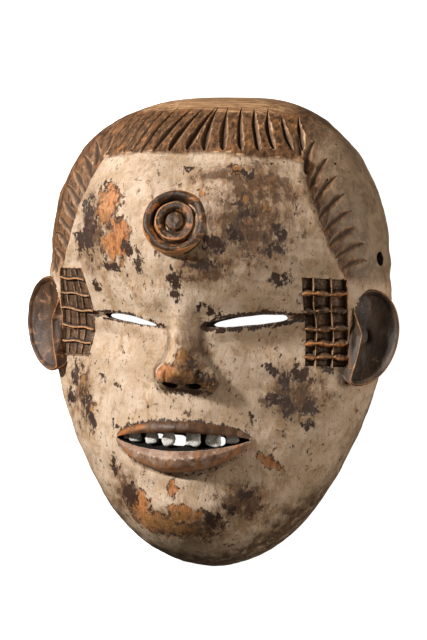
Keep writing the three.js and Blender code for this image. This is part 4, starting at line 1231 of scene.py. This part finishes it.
def crustMark(x, y):
    c = crust
    d = fromEyeLine(x, y)
    side = np.abs(x)
    fromSlit = d + eyes["drop"]
    dark = np.zeros_like(x)
    for eye, ours in ((rightEye, x > 0), (leftEye, x < 0)):
        over, under = eye["crustOver"], eye["crustUnder"]
        half = slitHeight(eye, np.clip((side - eye["innerX"]) / (eye["outerX"] - eye["innerX"]), 0, 1), 0)
        above = bell(fromSlit - half - c["over"] * over, over)
        below = bell(fromSlit + half + c["under"] * under, under)
        dark = np.where(ours, above + below, dark)
    tail = bell(d + c["tailBelow"], c["tailHalf"]) * smoothstep(*c["tailComes"], side)
    dark = dark + tail * smoothstep(*c["tailGoes"], side)
    byNose = bell(d + c["noseBelow"], c["noseHalf"]) * smoothstep(*c["noseComes"], x)
    dark = dark + byNose * smoothstep(*c["noseGoes"], x)
    return dark * (smoothstep(*c["comesIn"], side) * smoothstep(*c["goesOut"], side))


# marks on the surface that the materials read: worn spots, raised edges, hollows and regions
def markSurface(piece):
    mesh = piece.data
    points = meshPoints(mesh)
    x, y, z = points.T
    w = wear
    fine = standingOut(mesh, points, w["fineRounds"])
    broad = standingOut(mesh, points, w["broadRounds"])
    edge = smoothstep(*w["fineEdge"], fine) * w["edgeShare"]
    setMark(mesh, "edge", edge + smoothstep(*w["broadEdge"], broad) * (1 - w["edgeShare"]))
    # the finishes darken each hollow: painted shade, partly grime
    hollow = smoothstep(*w["fineHollow"], fine) * w["hollowShare"]
    setMark(mesh, "hollow", hollow + smoothstep(*w["broadHollow"], broad) * (1 - w["hollowShare"]))
    drift = waves(points, w["driftLength"], w["driftSeed"]) * w["drift"]
    drift = drift + waves(points, w["shiverLength"], w["shiverSeed"]) * w["shiver"]
    setMark(mesh, "bare", insideSpots(x + drift, y - drift, bareSpots))
    setMark(mesh, "lipEdge", lipEdgeMark(x, y))
    setMark(mesh, "wash", insideSpots(x + 2 * drift, y, washSpots))
    h = hairMark
    outside = besidePanel(x, y)
    # a dark line along the outside of the panel's step: painted shadow, stronger on the right
    line = bell(outside - h["stepShadowX"], h["stepShadowHalf"]) * smoothstep(*h["stepShadowComes"], y)
    line = line * smoothstep(*h["stepShadowGoes"], y) * np.where(x > 0, h["right"], h["left"])
    spots = insideSpots(x - drift, y + drift, darkSpots)
    setMark(mesh, "dark", np.max([spots, crustMark(x, y), mouthRimMark(x, y), line], 0))
    outside = outside + h["drift"] * drift
    beside = smoothstep(*h["sideAt"], outside) * smoothstep(*h["footAt"], y)
    hair = np.maximum(smoothstep(*h["fringeAt"], y - hairLine(x)), beside)
    setMark(mesh, "hair", hair)
    setMark(mesh, "pale", smoothstep(*h["paleAt"], outside) * smoothstep(*h["paleGoes"], y) * (x > 0) * hair)
    crown = smoothstep(*h["crownAt"], y + h["crownDrift"] * drift)
    setMark(mesh, "crown", crown * smoothstep(*h["crownGoes"], np.abs(x - h["crownX"])))
    b = rimBand
    height = z + b["drift"] * drift
    band = smoothstep(*b["chinAt"], height) * smoothstep(*b["chinComes"], y)
    band = band + smoothstep(*b["roundAt"], z + drift)
    band = band + b["jaw"] * smoothstep(*b["jawAt"], height) * smoothstep(*b["jawComes"], y) * (x > 0)
    setMark(mesh, "band", np.clip(band, 0, 1))
    setMark(mesh, "bar", barMark(x, y))


# Materials. Colours are given as they look on a screen, 0 to 255. Lengths are in metres, so a
# pattern's scale of 200 has features of about 5 mm.
def screenColour(red, green, blue):
    value = np.array([red, green, blue]) / 255
    linear = np.where(value <= 0.04045, value / 12.92, ((value + 0.055) / 1.055) ** 2.4)
    return (*linear.tolist(), 1)


# the colours of a finish, ready for its sockets
def tonesOf(look):
    return {name: screenColour(*value) for name, value in look.items() if isinstance(value, tuple)}


# adds a shader node with its settings and its inputs, which are values or other nodes' outputs
def put(tree, kind, settings, inputs):
    node = tree.nodes.new("ShaderNode" + kind)
    for key, value in settings.items():
        setattr(node, key, value)
    for key, value in inputs.items():
        socket = node.inputs[key]
        if isinstance(value, bpy.types.NodeSocket):
            tree.links.new(value, socket)
        else:
            socket.default_value = value
    return node


def maths(tree, operation, a, b, clamp=False):
    return put(tree, "Math", dict(operation=operation, use_clamp=clamp), {0: a, 1: b}).outputs[0]


def times(tree, a, b):
    return maths(tree, "MULTIPLY", a, b)


# a value times a weight, plus another value
def weighed(tree, value, weight, added):
    return put(tree, "Math", dict(operation="MULTIPLY_ADD"), {0: value, 1: weight, 2: added}).outputs[0]


def mixed(tree, share, a, b):
    return put(tree, "Mix", dict(data_type="RGBA"), {0: share, 6: a, 7: b}).outputs[2]


# how much of a layer shows: nothing up to its low value, and its full share from its high value on
def shown(tree, value, layer):
    low, high, *share = layer
    inputs = {"Value": value, "From Min": low, "From Max": high}
    risen = put(tree, "MapRange", dict(interpolation_type="SMOOTHSTEP"), inputs).outputs[0]
    return times(tree, risen, share[0]) if share else risen


def mark(tree, name):
    return put(tree, "Attribute", dict(attribute_name=name), {}).outputs["Fac"]


# cloudy noise about 0.5, moved by a seed, turned in the plan and drawn out along an axis by a
# smaller stretch there
def cloud(tree, scale, detail, rough, seed, stretch=(1, 1, 1), turn=0, distortion=0.0):
    place = put(tree, "TexCoord", {}, {}).outputs["Object"]
    shift = (seed, seed * 0.7, -seed)
    inputs = {"Vector": place, "Location": shift, "Rotation": (0, 0, turn), "Scale": stretch}
    moved = put(tree, "Mapping", {}, inputs).outputs[0]
    inputs = {"Vector": moved, "Scale": scale, "Detail": detail, "Roughness": rough, "Distortion": distortion}
    return put(tree, "TexNoise", {}, inputs).outputs["Fac"]


def newFinish(name):
    finish = bpy.data.materials.new(name)
    finish.use_nodes = True
    return finish, finish.node_tree, finish.node_tree.nodes["Principled BSDF"]


def bumped(tree, shader, height, distance):
    inputs = {"Strength": 1.0, "Distance": distance, "Height": height}
    tree.links.new(put(tree, "Bump", {}, inputs).outputs[0], shader.inputs["Normal"])


paint = dict(
    cream=(240, 213, 187), creamGrey=(214, 184, 152), creamWarm=(228, 190, 152), tan=(184, 144, 104),
    wash=(112, 78, 52), umber=(98, 68, 44), gold=(168, 118, 68), bare=(228, 148, 86), bareDeep=(172, 106, 60),
    dark=(72, 47, 34), darkGrey=(72, 54, 46), band=(132, 103, 74), bandDeep=(88, 66, 47),
    hair=(150, 107, 73), hairDeep=(72, 49, 33), hairLight=(232, 182, 134), pale=(180, 152, 124),
    paleDeep=(138, 112, 88), roughness=0.6, bareRoughness=0.46,
)
paintNoise = dict(
    soft=dict(scale=60, detail=7, rough=0.62, seed=1.3, distortion=0.4),
    strokes=dict(scale=480, detail=5, rough=0.62, seed=2.1, stretch=(1, 0.26, 0.6), turn=0.55),
    grain=dict(scale=1500, detail=3, rough=0.6, seed=3.7),
    ragged=dict(scale=170, detail=9, rough=0.7, seed=4.9, stretch=(1, 0.7, 1), turn=0.3, distortion=0.5),
    chips=dict(scale=330, detail=8, rough=0.7, seed=6.1, stretch=(1, 0.7, 1), turn=-0.4, distortion=0.3),
    thin=dict(scale=130, detail=10, rough=0.74, seed=7.7, stretch=(1, 0.8, 1), turn=0.5, distortion=0.6),
    stain=dict(scale=120, detail=8, rough=0.65, seed=8.2, stretch=(1, 0.8, 1), turn=0.6, distortion=0.4),
    brushed=dict(scale=300, detail=7, rough=0.7, seed=8.5, stretch=(1, 0.3, 1), turn=0.5, distortion=0.5),
    mottle=dict(scale=240, detail=9, rough=0.7, seed=8.9, stretch=(1, 0.7, 1), turn=0.4),
    speckle=dict(scale=740, detail=7, rough=0.7, seed=9.1, stretch=(1, 0.6, 1), turn=0.7),
    rings=dict(scale=900, detail=3, rough=0.5, seed=9.7, stretch=(0.05, 1, 1)),
)
# the values of the noise between which each layer comes in, and its share where that isn't all
paintLayers = dict(
    grey=(0.38, 0.62), warm=(0.48, 0.66, 0.8), worn=(0.5, 0.61, 0.65), grain=(0.52, 0.75, 0.4),
    stain=(0.3, 0.55), brushed=(0.42, 0.6, -0.75), ember=(0.55, 0.6, 0.8), mottle=(0.62, 0.7, 0.75),
    fleck=(0.775, 0.81, 0.8), soot=(0.42, 0.6), sootWorn=(0.54, 0.62, 0.6), flaked=(0.59, 0.62),
    chipped=(0.44, 0.52), bare=(0.62, 0.76), woodDeep=(0.36, 0.66), woodStained=(0.52, 0.6, 0.7),
    woodPainted=(0.54, 0.62, 0.6), dark=(0.588, 0.612), band=(0.3, 0.52), bandDeep=(0.35, 0.65),
    hairDeep=(0.36, 0.66), hairEdge=(0.3, 0.65), hairBroken=(0.4, 0.58), hairRubbed=(0.55, 0.62, 0.5),
    paleDeep=(0.4, 0.62), rings=(0.42, 0.6), sunk=(0.2, 0.9, 0.5),
)
# how much a mark or a second noise lifts the noise of a layer
paintLift = dict(worn=0.12, mottle=0.2, fleck=0.24, bare=0.37, dark=0.18, gold=1.3, broken=0.5)
paintBump = dict(strokes=0.8, grain=0.3, gone=-0.5, thin=0.8, distance=0.0007)


# thin kaolin paint over a dark layer over bare wood: noise thresholds lifted by the marks make the
# ragged edges of each loss. The hair and the band by the rim are bare wood
def paintedFinish():
    finish, tree, shader = newFinish("wornKaolinPaint")
    tone = tonesOf(paint)
    noise = {name: cloud(tree, **values) for name, values in paintNoise.items()}
    soft, strokes, grain, ragged, chips, thin, speckle = (
        noise[name] for name in ("soft", "strokes", "grain", "ragged", "chips", "thin", "speckle")
    )
    layer = paintLayers
    lift = paintLift
    edge, hollow, wash = mark(tree, "edge"), mark(tree, "hollow"), mark(tree, "wash")

    cream = mixed(tree, shown(tree, soft, layer["grey"]), tone["cream"], tone["creamGrey"])
    cream = mixed(tree, shown(tree, strokes, layer["warm"]), cream, tone["creamWarm"])
    worn = shown(tree, weighed(tree, wash, lift["worn"], thin), layer["worn"])
    cream = mixed(tree, worn, cream, tone["tan"])
    cream = mixed(tree, shown(tree, grain, layer["grain"]), cream, tone["wash"])
    brushed = maths(tree, "ADD", shown(tree, noise["brushed"], layer["brushed"]), 1)
    stain = times(tree, times(tree, wash, shown(tree, noise["stain"], layer["stain"])), brushed)
    painted = mixed(tree, stain, cream, tone["wash"])
    ember = times(tree, wash, shown(tree, chips, layer["ember"]))
    painted = mixed(tree, ember, painted, tone["bareDeep"])
    mottle = shown(tree, weighed(tree, wash, lift["mottle"], noise["mottle"]), layer["mottle"])
    painted = mixed(tree, mottle, painted, tone["umber"])
    fleck = shown(tree, weighed(tree, soft, lift["fleck"], speckle), layer["fleck"])
    painted = mixed(tree, fleck, painted, tone["dark"])

    # each loss lays bare the dark layer first and the wood inside it
    soot = mixed(tree, shown(tree, soft, layer["soot"]), tone["dark"], tone["darkGrey"])
    soot = mixed(tree, shown(tree, ragged, layer["sootWorn"]), soot, tone["umber"])
    flaked = weighed(tree, mark(tree, "bare"), lift["bare"], ragged)
    fringe = times(tree, shown(tree, flaked, layer["flaked"]), shown(tree, chips, layer["chipped"]))
    painted = mixed(tree, fringe, painted, soot)
    bare = shown(tree, flaked, layer["bare"])
    wood = mixed(tree, shown(tree, strokes, layer["woodDeep"]), tone["bare"], tone["bareDeep"])
    wood = mixed(tree, maths(tree, "MULTIPLY", wash, lift["gold"], True), wood, tone["gold"])
    wood = mixed(tree, shown(tree, chips, layer["woodStained"]), wood, tone["umber"])
    wood = mixed(tree, shown(tree, speckle, layer["woodPainted"]), wood, tone["creamWarm"])
    painted = mixed(tree, bare, painted, wood)
    broken = maths(tree, "ADD", times(tree, chips, lift["broken"]), times(tree, speckle, 1 - lift["broken"]))
    dark = shown(tree, weighed(tree, mark(tree, "dark"), lift["dark"], broken), layer["dark"])
    painted = mixed(tree, dark, painted, soot)

    band = times(tree, mark(tree, "band"), shown(tree, ragged, layer["band"]))
    rim = mixed(tree, shown(tree, strokes, layer["bandDeep"]), tone["band"], tone["bandDeep"])
    painted = mixed(tree, band, painted, rim)

    lock = mixed(tree, shown(tree, strokes, layer["hairDeep"]), tone["hair"], tone["hairDeep"])
    # the hair's ridges and edges are lighter: partly wear, partly a painted highlight
    lighter = times(tree, shown(tree, edge, layer["hairEdge"]), shown(tree, chips, layer["hairBroken"]))
    lock = mixed(tree, lighter, lock, tone["hairLight"])
    lock = mixed(tree, shown(tree, ragged, layer["hairRubbed"]), lock, tone["bare"])
    flank = mixed(tree, shown(tree, thin, layer["paleDeep"]), tone["pale"], tone["paleDeep"])
    lock = mixed(tree, mark(tree, "pale"), lock, flank)
    cutCrown = mixed(tree, shown(tree, noise["rings"], layer["rings"]), tone["hairLight"], tone["hair"])
    lock = mixed(tree, mark(tree, "crown"), lock, cutCrown)
    everything = mixed(tree, mark(tree, "hair"), painted, lock)

    # painted shade in the hollows, partly grime: they are darkened towards umber
    everything = mixed(tree, shown(tree, hollow, layer["sunk"]), everything, tone["umber"])
    tree.links.new(everything, shader.inputs["Base Color"])
    gone = maths(tree, "MAXIMUM", maths(tree, "MAXIMUM", bare, dark), mark(tree, "hair"))
    inputs = {"Value": gone, "To Min": paint["roughness"], "To Max": paint["bareRoughness"]}
    tree.links.new(put(tree, "MapRange", {}, inputs).outputs[0], shader.inputs["Roughness"])
    height = weighed(tree, grain, paintBump["grain"], times(tree, strokes, paintBump["strokes"]))
    height = weighed(tree, gone, paintBump["gone"], height)
    height = weighed(tree, thin, paintBump["thin"], height)
    bumped(tree, shader, height, paintBump["distance"])
    return finish


woodNoise = dict(
    grain=dict(detail=6, rough=0.62, stretch=(1, 0.3, 1)),
    blotch=dict(scale=160, detail=8, rough=0.66, distortion=0.3),
    speck=dict(scale=1300, detail=3, rough=0.6),
)
woodLayers = dict(
    deep=(0.36, 0.64), patchOver=0.1, wornOver=0.3, rubbedTo=0.95, rubbedGrain=(0.36, 0.56), blotchLift=0.9,
    sunk=(0.05, 0.75, 0.85), speck=(0.55, 0.72, 0.4), speckBump=0.4,
)


# bare carved wood in two tones along the grain, lighter on its worn edges and darkened in its hollows
# by painted shade, partly grime. a look with a colour for the lips' edges or the bars is rubbed there
def woodFinish(name, look):
    finish, tree, shader = newFinish(name)
    tone = tonesOf(look)
    layer = woodLayers
    seed = look["seed"]
    grain = cloud(tree, scale=look["grain"], seed=seed, turn=look["turn"], **woodNoise["grain"])
    blotch = cloud(tree, seed=seed + 1, **woodNoise["blotch"])
    speck = cloud(tree, seed=seed + 2, **woodNoise["speck"])
    patchAt = look["patchFrom"], look["patchFrom"] + layer["patchOver"]
    wornAt = look["wornFrom"], look["wornFrom"] + layer["wornOver"]
    colour = mixed(tree, shown(tree, grain, layer["deep"]), tone["wood"], tone["deep"])
    colour = mixed(tree, shown(tree, blotch, patchAt), colour, tone["patch"])
    worn = shown(tree, weighed(tree, blotch, layer["blotchLift"], mark(tree, "edge")), wornAt)
    colour = mixed(tree, worn, colour, tone["worn"])
    for region in ("lipEdge", "bar"):
        if region in look:
            rubbed = shown(tree, mark(tree, region), (look["rubbedFrom"], layer["rubbedTo"]))
            rubbed = times(tree, rubbed, shown(tree, grain, layer["rubbedGrain"]))
            colour = mixed(tree, rubbed, colour, tone[region])
    # painted shade, partly grime: the look's sunk colour darkens its hollows
    colour = mixed(tree, shown(tree, mark(tree, "hollow"), layer["sunk"]), colour, tone["sunk"])
    colour = mixed(tree, shown(tree, speck, layer["speck"]), colour, tone["deep"])
    tree.links.new(colour, shader.inputs["Base Color"])
    shader.inputs["Roughness"].default_value = look["roughness"]
    bumped(tree, shader, maths(tree, "ADD", grain, times(tree, speck, layer["speckBump"])), look["bump"])
    return finish


# each look's sunk colour is painted shade in its hollows, partly grime
insideLook = dict(
    wood=(120, 88, 60), deep=(70, 48, 32), patch=(96, 68, 46), worn=(150, 112, 78), sunk=(24, 16, 11),
    grain=260, seed=11, turn=0.1, patchFrom=0.6, wornFrom=1.1, roughness=0.75, bump=0.0005,
)
# the walls inside the slits, the mouth pocket, the nostrils and the holes are far darker than the hollow's
# own wood: painted shade
openingShadeLook = dict(
    wood=(50, 35, 25), deep=(22, 15, 11), patch=(72, 52, 36), worn=(140, 102, 70), sunk=(12, 8, 6),
    grain=300, seed=15, turn=0.1, patchFrom=0.62, wornFrom=1.25, roughness=0.7, bump=0.0004,
)
cutLook = dict(
    wood=(186, 144, 108), deep=(132, 97, 68), patch=(208, 156, 112), worn=(236, 192, 150), sunk=(50, 33, 22),
    grain=380, seed=21, turn=0.3, patchFrom=0.56, wornFrom=0.95, roughness=0.66, bump=0.0004,
)
discLook = dict(
    wood=(104, 74, 50), deep=(58, 42, 30), patch=(200, 130, 74), worn=(214, 150, 96), sunk=(34, 22, 15),
    grain=300, seed=31, turn=0.9, patchFrom=0.5, wornFrom=0.8, roughness=0.42, bump=0.0007,
)
blockLook = dict(
    wood=(124, 92, 67), deep=(70, 52, 38), patch=(164, 112, 72), worn=(212, 162, 118), sunk=(28, 20, 14),
    grain=320, seed=41, turn=0.2, patchFrom=0.62, wornFrom=1.0, roughness=0.55, bump=0.0005,
    bar=(220, 144, 84), rubbedFrom=0.7,
)
leftEarLook = dict(
    wood=(102, 70, 47), deep=(60, 41, 28), patch=(156, 112, 78), worn=(216, 142, 82), sunk=(50, 33, 23),
    grain=220, seed=51, turn=0.4, patchFrom=0.54, wornFrom=1.0, roughness=0.5, bump=0.0006,
)
rightEarLook = dict(
    wood=(96, 76, 60), deep=(58, 44, 35), patch=(130, 104, 80), worn=(206, 146, 96), sunk=(22, 15, 11),
    grain=220, seed=61, turn=0.4, patchFrom=0.6, wornFrom=1.05, roughness=0.5, bump=0.0006,
)
# the lower lip's pale worn colour on its crest is partly wear, partly a painted highlight
lipLook = dict(
    wood=(186, 146, 120), deep=(134, 98, 76), patch=(196, 164, 142), worn=(230, 204, 184), sunk=(84, 54, 34),
    grain=240, seed=71, turn=1.5, patchFrom=0.52, wornFrom=1.05, roughness=0.5, bump=0.0004,
    lipEdge=(216, 134, 66), rubbedFrom=0.05,
)
upperLipLook = dict(
    wood=(120, 84, 58), deep=(80, 54, 35), patch=(150, 108, 78), worn=(172, 124, 88), sunk=(40, 25, 16),
    grain=240, seed=75, turn=1.5, patchFrom=0.58, wornFrom=1.1, roughness=0.42, bump=0.0006,
    lipEdge=(186, 116, 60), rubbedFrom=0.2,
)
toothLook = dict(chalk=(255, 252, 247), grey=(248, 240, 230), dirt=(78, 60, 46), roughness=0.6, bump=0.0006)
toothNoise = dict(
    rough=dict(scale=420, detail=7, rough=0.65, seed=81),
    speck=dict(scale=1100, detail=5, rough=0.65, seed=82),
)
toothLayers = dict(grey=(0.42, 0.62), dirt=(1.0, 1.5), upLift=0.55, stainLift=0.55)


# chalky pegs, dark at the gum and stained by use
def toothFinish():
    finish, tree, shader = newFinish("chalkyTeeth")
    tone = tonesOf(toothLook)
    layer = toothLayers
    rough = cloud(tree, **toothNoise["rough"])
    speck = cloud(tree, **toothNoise["speck"])
    colour = mixed(tree, shown(tree, rough, layer["grey"]), tone["chalk"], tone["grey"])
    stain = times(tree, mark(tree, "stain"), layer["stainLift"])
    shade = maths(tree, "ADD", weighed(tree, mark(tree, "up"), layer["upLift"], stain), speck)
    colour = mixed(tree, shown(tree, shade, layer["dirt"]), colour, tone["dirt"])
    tree.links.new(colour, shader.inputs["Base Color"])
    shader.inputs["Roughness"].default_value = toothLook["roughness"]
    bumped(tree, shader, maths(tree, "ADD", rough, speck), toothLook["bump"])
    return finish


# the material slot of each part of the carving, in the order of partOf
slotOfPart = np.array([0, 1, 2, 3, 4, 5, 6, 7, 7, 9])
rightEarSlot = 8
# the face right beside each ear, in front of the ear's back, is finished as the ear is
earRoot = dict(x=88.0, y=0.2, halfX=8.6, halfY=24.0, behind=8.0)


def dressMask(piece):
    mesh = piece.data
    mesh.materials.clear()
    mesh.materials.append(paintedFinish())
    looks = [
        ("hollowWood", insideLook), ("hairCuts", cutLook), ("discWood", discLook), ("templeWood", blockLook),
        ("leftEarWood", leftEarLook), ("lipWood", lipLook), ("openingShadedWood", openingShadeLook),
        ("rightEarWood", rightEarLook), ("upperLipWood", upperLipLook),
    ]
    for name, look in looks:
        mesh.materials.append(woodFinish(name, look))
    part = np.empty(len(mesh.polygons), np.int32)
    mesh.attributes["part"].data.foreach_get("value", part)
    centre = np.empty(len(mesh.polygons) * 3, np.float32)
    mesh.polygons.foreach_get("center", centre)
    x, y, z = centre.reshape(-1, 3).T
    slots = slotOfPart[part]
    fromEar = np.hypot((np.abs(x) - earRoot["x"]) / earRoot["halfX"], (y - earRoot["y"]) / earRoot["halfY"])
    lean = math.radians(ear["tilt"])
    inFront = (np.abs(x) - ear["rootX"]) * math.sin(lean) + (z - ear["rootZ"]) * math.cos(lean)
    besideEar = (part == partOf["outer"]) & (fromEar < 1) & (inFront > -earRoot["behind"])
    slots = np.where(besideEar, partOf["ear"], slots)
    slots = np.where((slots == partOf["ear"]) & (x > 0), rightEarSlot, slots)
    mesh.polygons.foreach_set("material_index", slots.astype(np.int32))


# edges that turn by more degrees than this stay sharp
sharpFrom = dict(mask=38, tooth=50)


def smoothShaded(piece, degrees):
    piece.data.shade_smooth()
    piece.data.set_sharp_from_angle(angle=math.radians(degrees))


mask = maskPiece()
markSurface(mask)
dressMask(mask)
fitToNode(mask, "mask")
smoothShaded(mask, sharpFrom["mask"])
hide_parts("mask")
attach(mask, "root")
print("mask triangles", sum(len(p.vertices) - 2 for p in mask.data.polygons))

toothPaint = toothFinish()
for number in range(len(teeth)):
    tooth = toothPeg(number)
    node = f"tooth_{number + 1}"
    fitToNode(tooth, node)
    smoothShaded(tooth, sharpFrom["tooth"])
    tooth.data.materials.append(toothPaint)
    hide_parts(node)
    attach(tooth, "root")
print("teeth in place")

# camera: straight at the face from a little to its left, turned slightly as the photograph is
view = dict(
    yaw=16.5, roll=2.6, distance=1.6, right=-0.0072, up=0.0065, lens=167.6, sensor=36,
    originY=-0.000623,  # where the plan's origin lies in the row frame
)


def placeCamera():
    yaw = math.radians(view["yaw"])
    roll = math.radians(view["roll"])
    toCamera = np.array([math.sin(yaw), 0, math.cos(yaw)])
    right = np.array([math.cos(yaw), 0, -math.sin(yaw)])
    up = np.array([0, 1, 0])
    imageRight = right * math.cos(roll) + up * math.sin(roll)
    imageUp = -right * math.sin(roll) + up * math.cos(roll)
    place = toCamera * view["distance"] + imageRight * view["right"] + imageUp * view["up"]
    place[1] += view["originY"]
    data = bpy.data.cameras.new("camera")
    data.lens = view["lens"]
    data.sensor_fit = "VERTICAL"
    data.sensor_height = view["sensor"]
    camera = bpy.data.objects.new("camera", data)
    bpy.context.scene.collection.objects.link(camera)
    turn = Matrix((imageRight, imageUp, toCamera)).transposed().to_4x4()
    camera.matrix_world = Matrix.Translation(place) @ turn
    bpy.context.scene.camera = camera


table = dict(half=8.0, below=0.0006, grey=(0.9, 0.9, 0.9, 1), roughness=0.8, glow=1.0)


# a white table that shines by itself, so that the slits read white and no shadow shows
def placeFloor():
    half = table["half"]
    corners = [[-half, -half, 0], [half, -half, 0], [half, half, 0], [-half, half, 0]]
    corners = np.array(corners) - [0, 0, table["below"]]
    floor = putMesh("floor", corners, [np.array([[0, 1, 2, 3]])], 0)
    finish, tree, shader = newFinish("whiteTable")
    shader.inputs["Base Color"].default_value = table["grey"]
    shader.inputs["Roughness"].default_value = table["roughness"]
    shader.inputs["Emission Color"].default_value = (1, 1, 1, 1)
    shader.inputs["Emission Strength"].default_value = table["glow"]
    floor.data.materials.append(finish)
    floor.visible_diffuse = False
    floor.visible_glossy = False


lights = dict(
    keyFrom=(-0.64, 0.4, 0.66), keyDistance=1.6, keySize=0.12, keyPower=29.5, keyColour=(1.0, 0.985, 0.96),
    fillAt=(1.5, 0.1, 0.16), fillSize=0.5, fillPower=10.0, fillColour=(1.0, 0.93, 0.84),
    worldPower=0.1, worldColour=(1.0, 0.88, 0.72, 1.0), aim=(0, 0, 0.05),
)


def areaLight(name, place, size, power, colour):
    data = bpy.data.lights.new(name, "AREA")
    data.size = size
    data.energy = power
    data.color = colour
    lamp = bpy.data.objects.new(name, data)
    lamp.location = place
    lamp.rotation_euler = (Vector(lights["aim"]) - Vector(place)).to_track_quat("-Z", "Y").to_euler()
    bpy.context.scene.collection.objects.link(lamp)


def placeLights():
    keyPlace = np.array(lights["keyFrom"]) * lights["keyDistance"]
    areaLight("key", keyPlace, lights["keySize"], lights["keyPower"], lights["keyColour"])
    areaLight("fill", lights["fillAt"], lights["fillSize"], lights["fillPower"], lights["fillColour"])
    world = bpy.data.worlds.new("studio")
    bpy.context.scene.world = world
    world.use_nodes = True
    sky = world.node_tree.nodes["Background"]
    sky.inputs["Color"].default_value = lights["worldColour"]
    sky.inputs["Strength"].default_value = lights["worldPower"]
    bpy.context.scene.view_settings.view_transform = "Standard"


placeCamera()
placeFloor()
placeLights()
print("camera, table and lights placed")
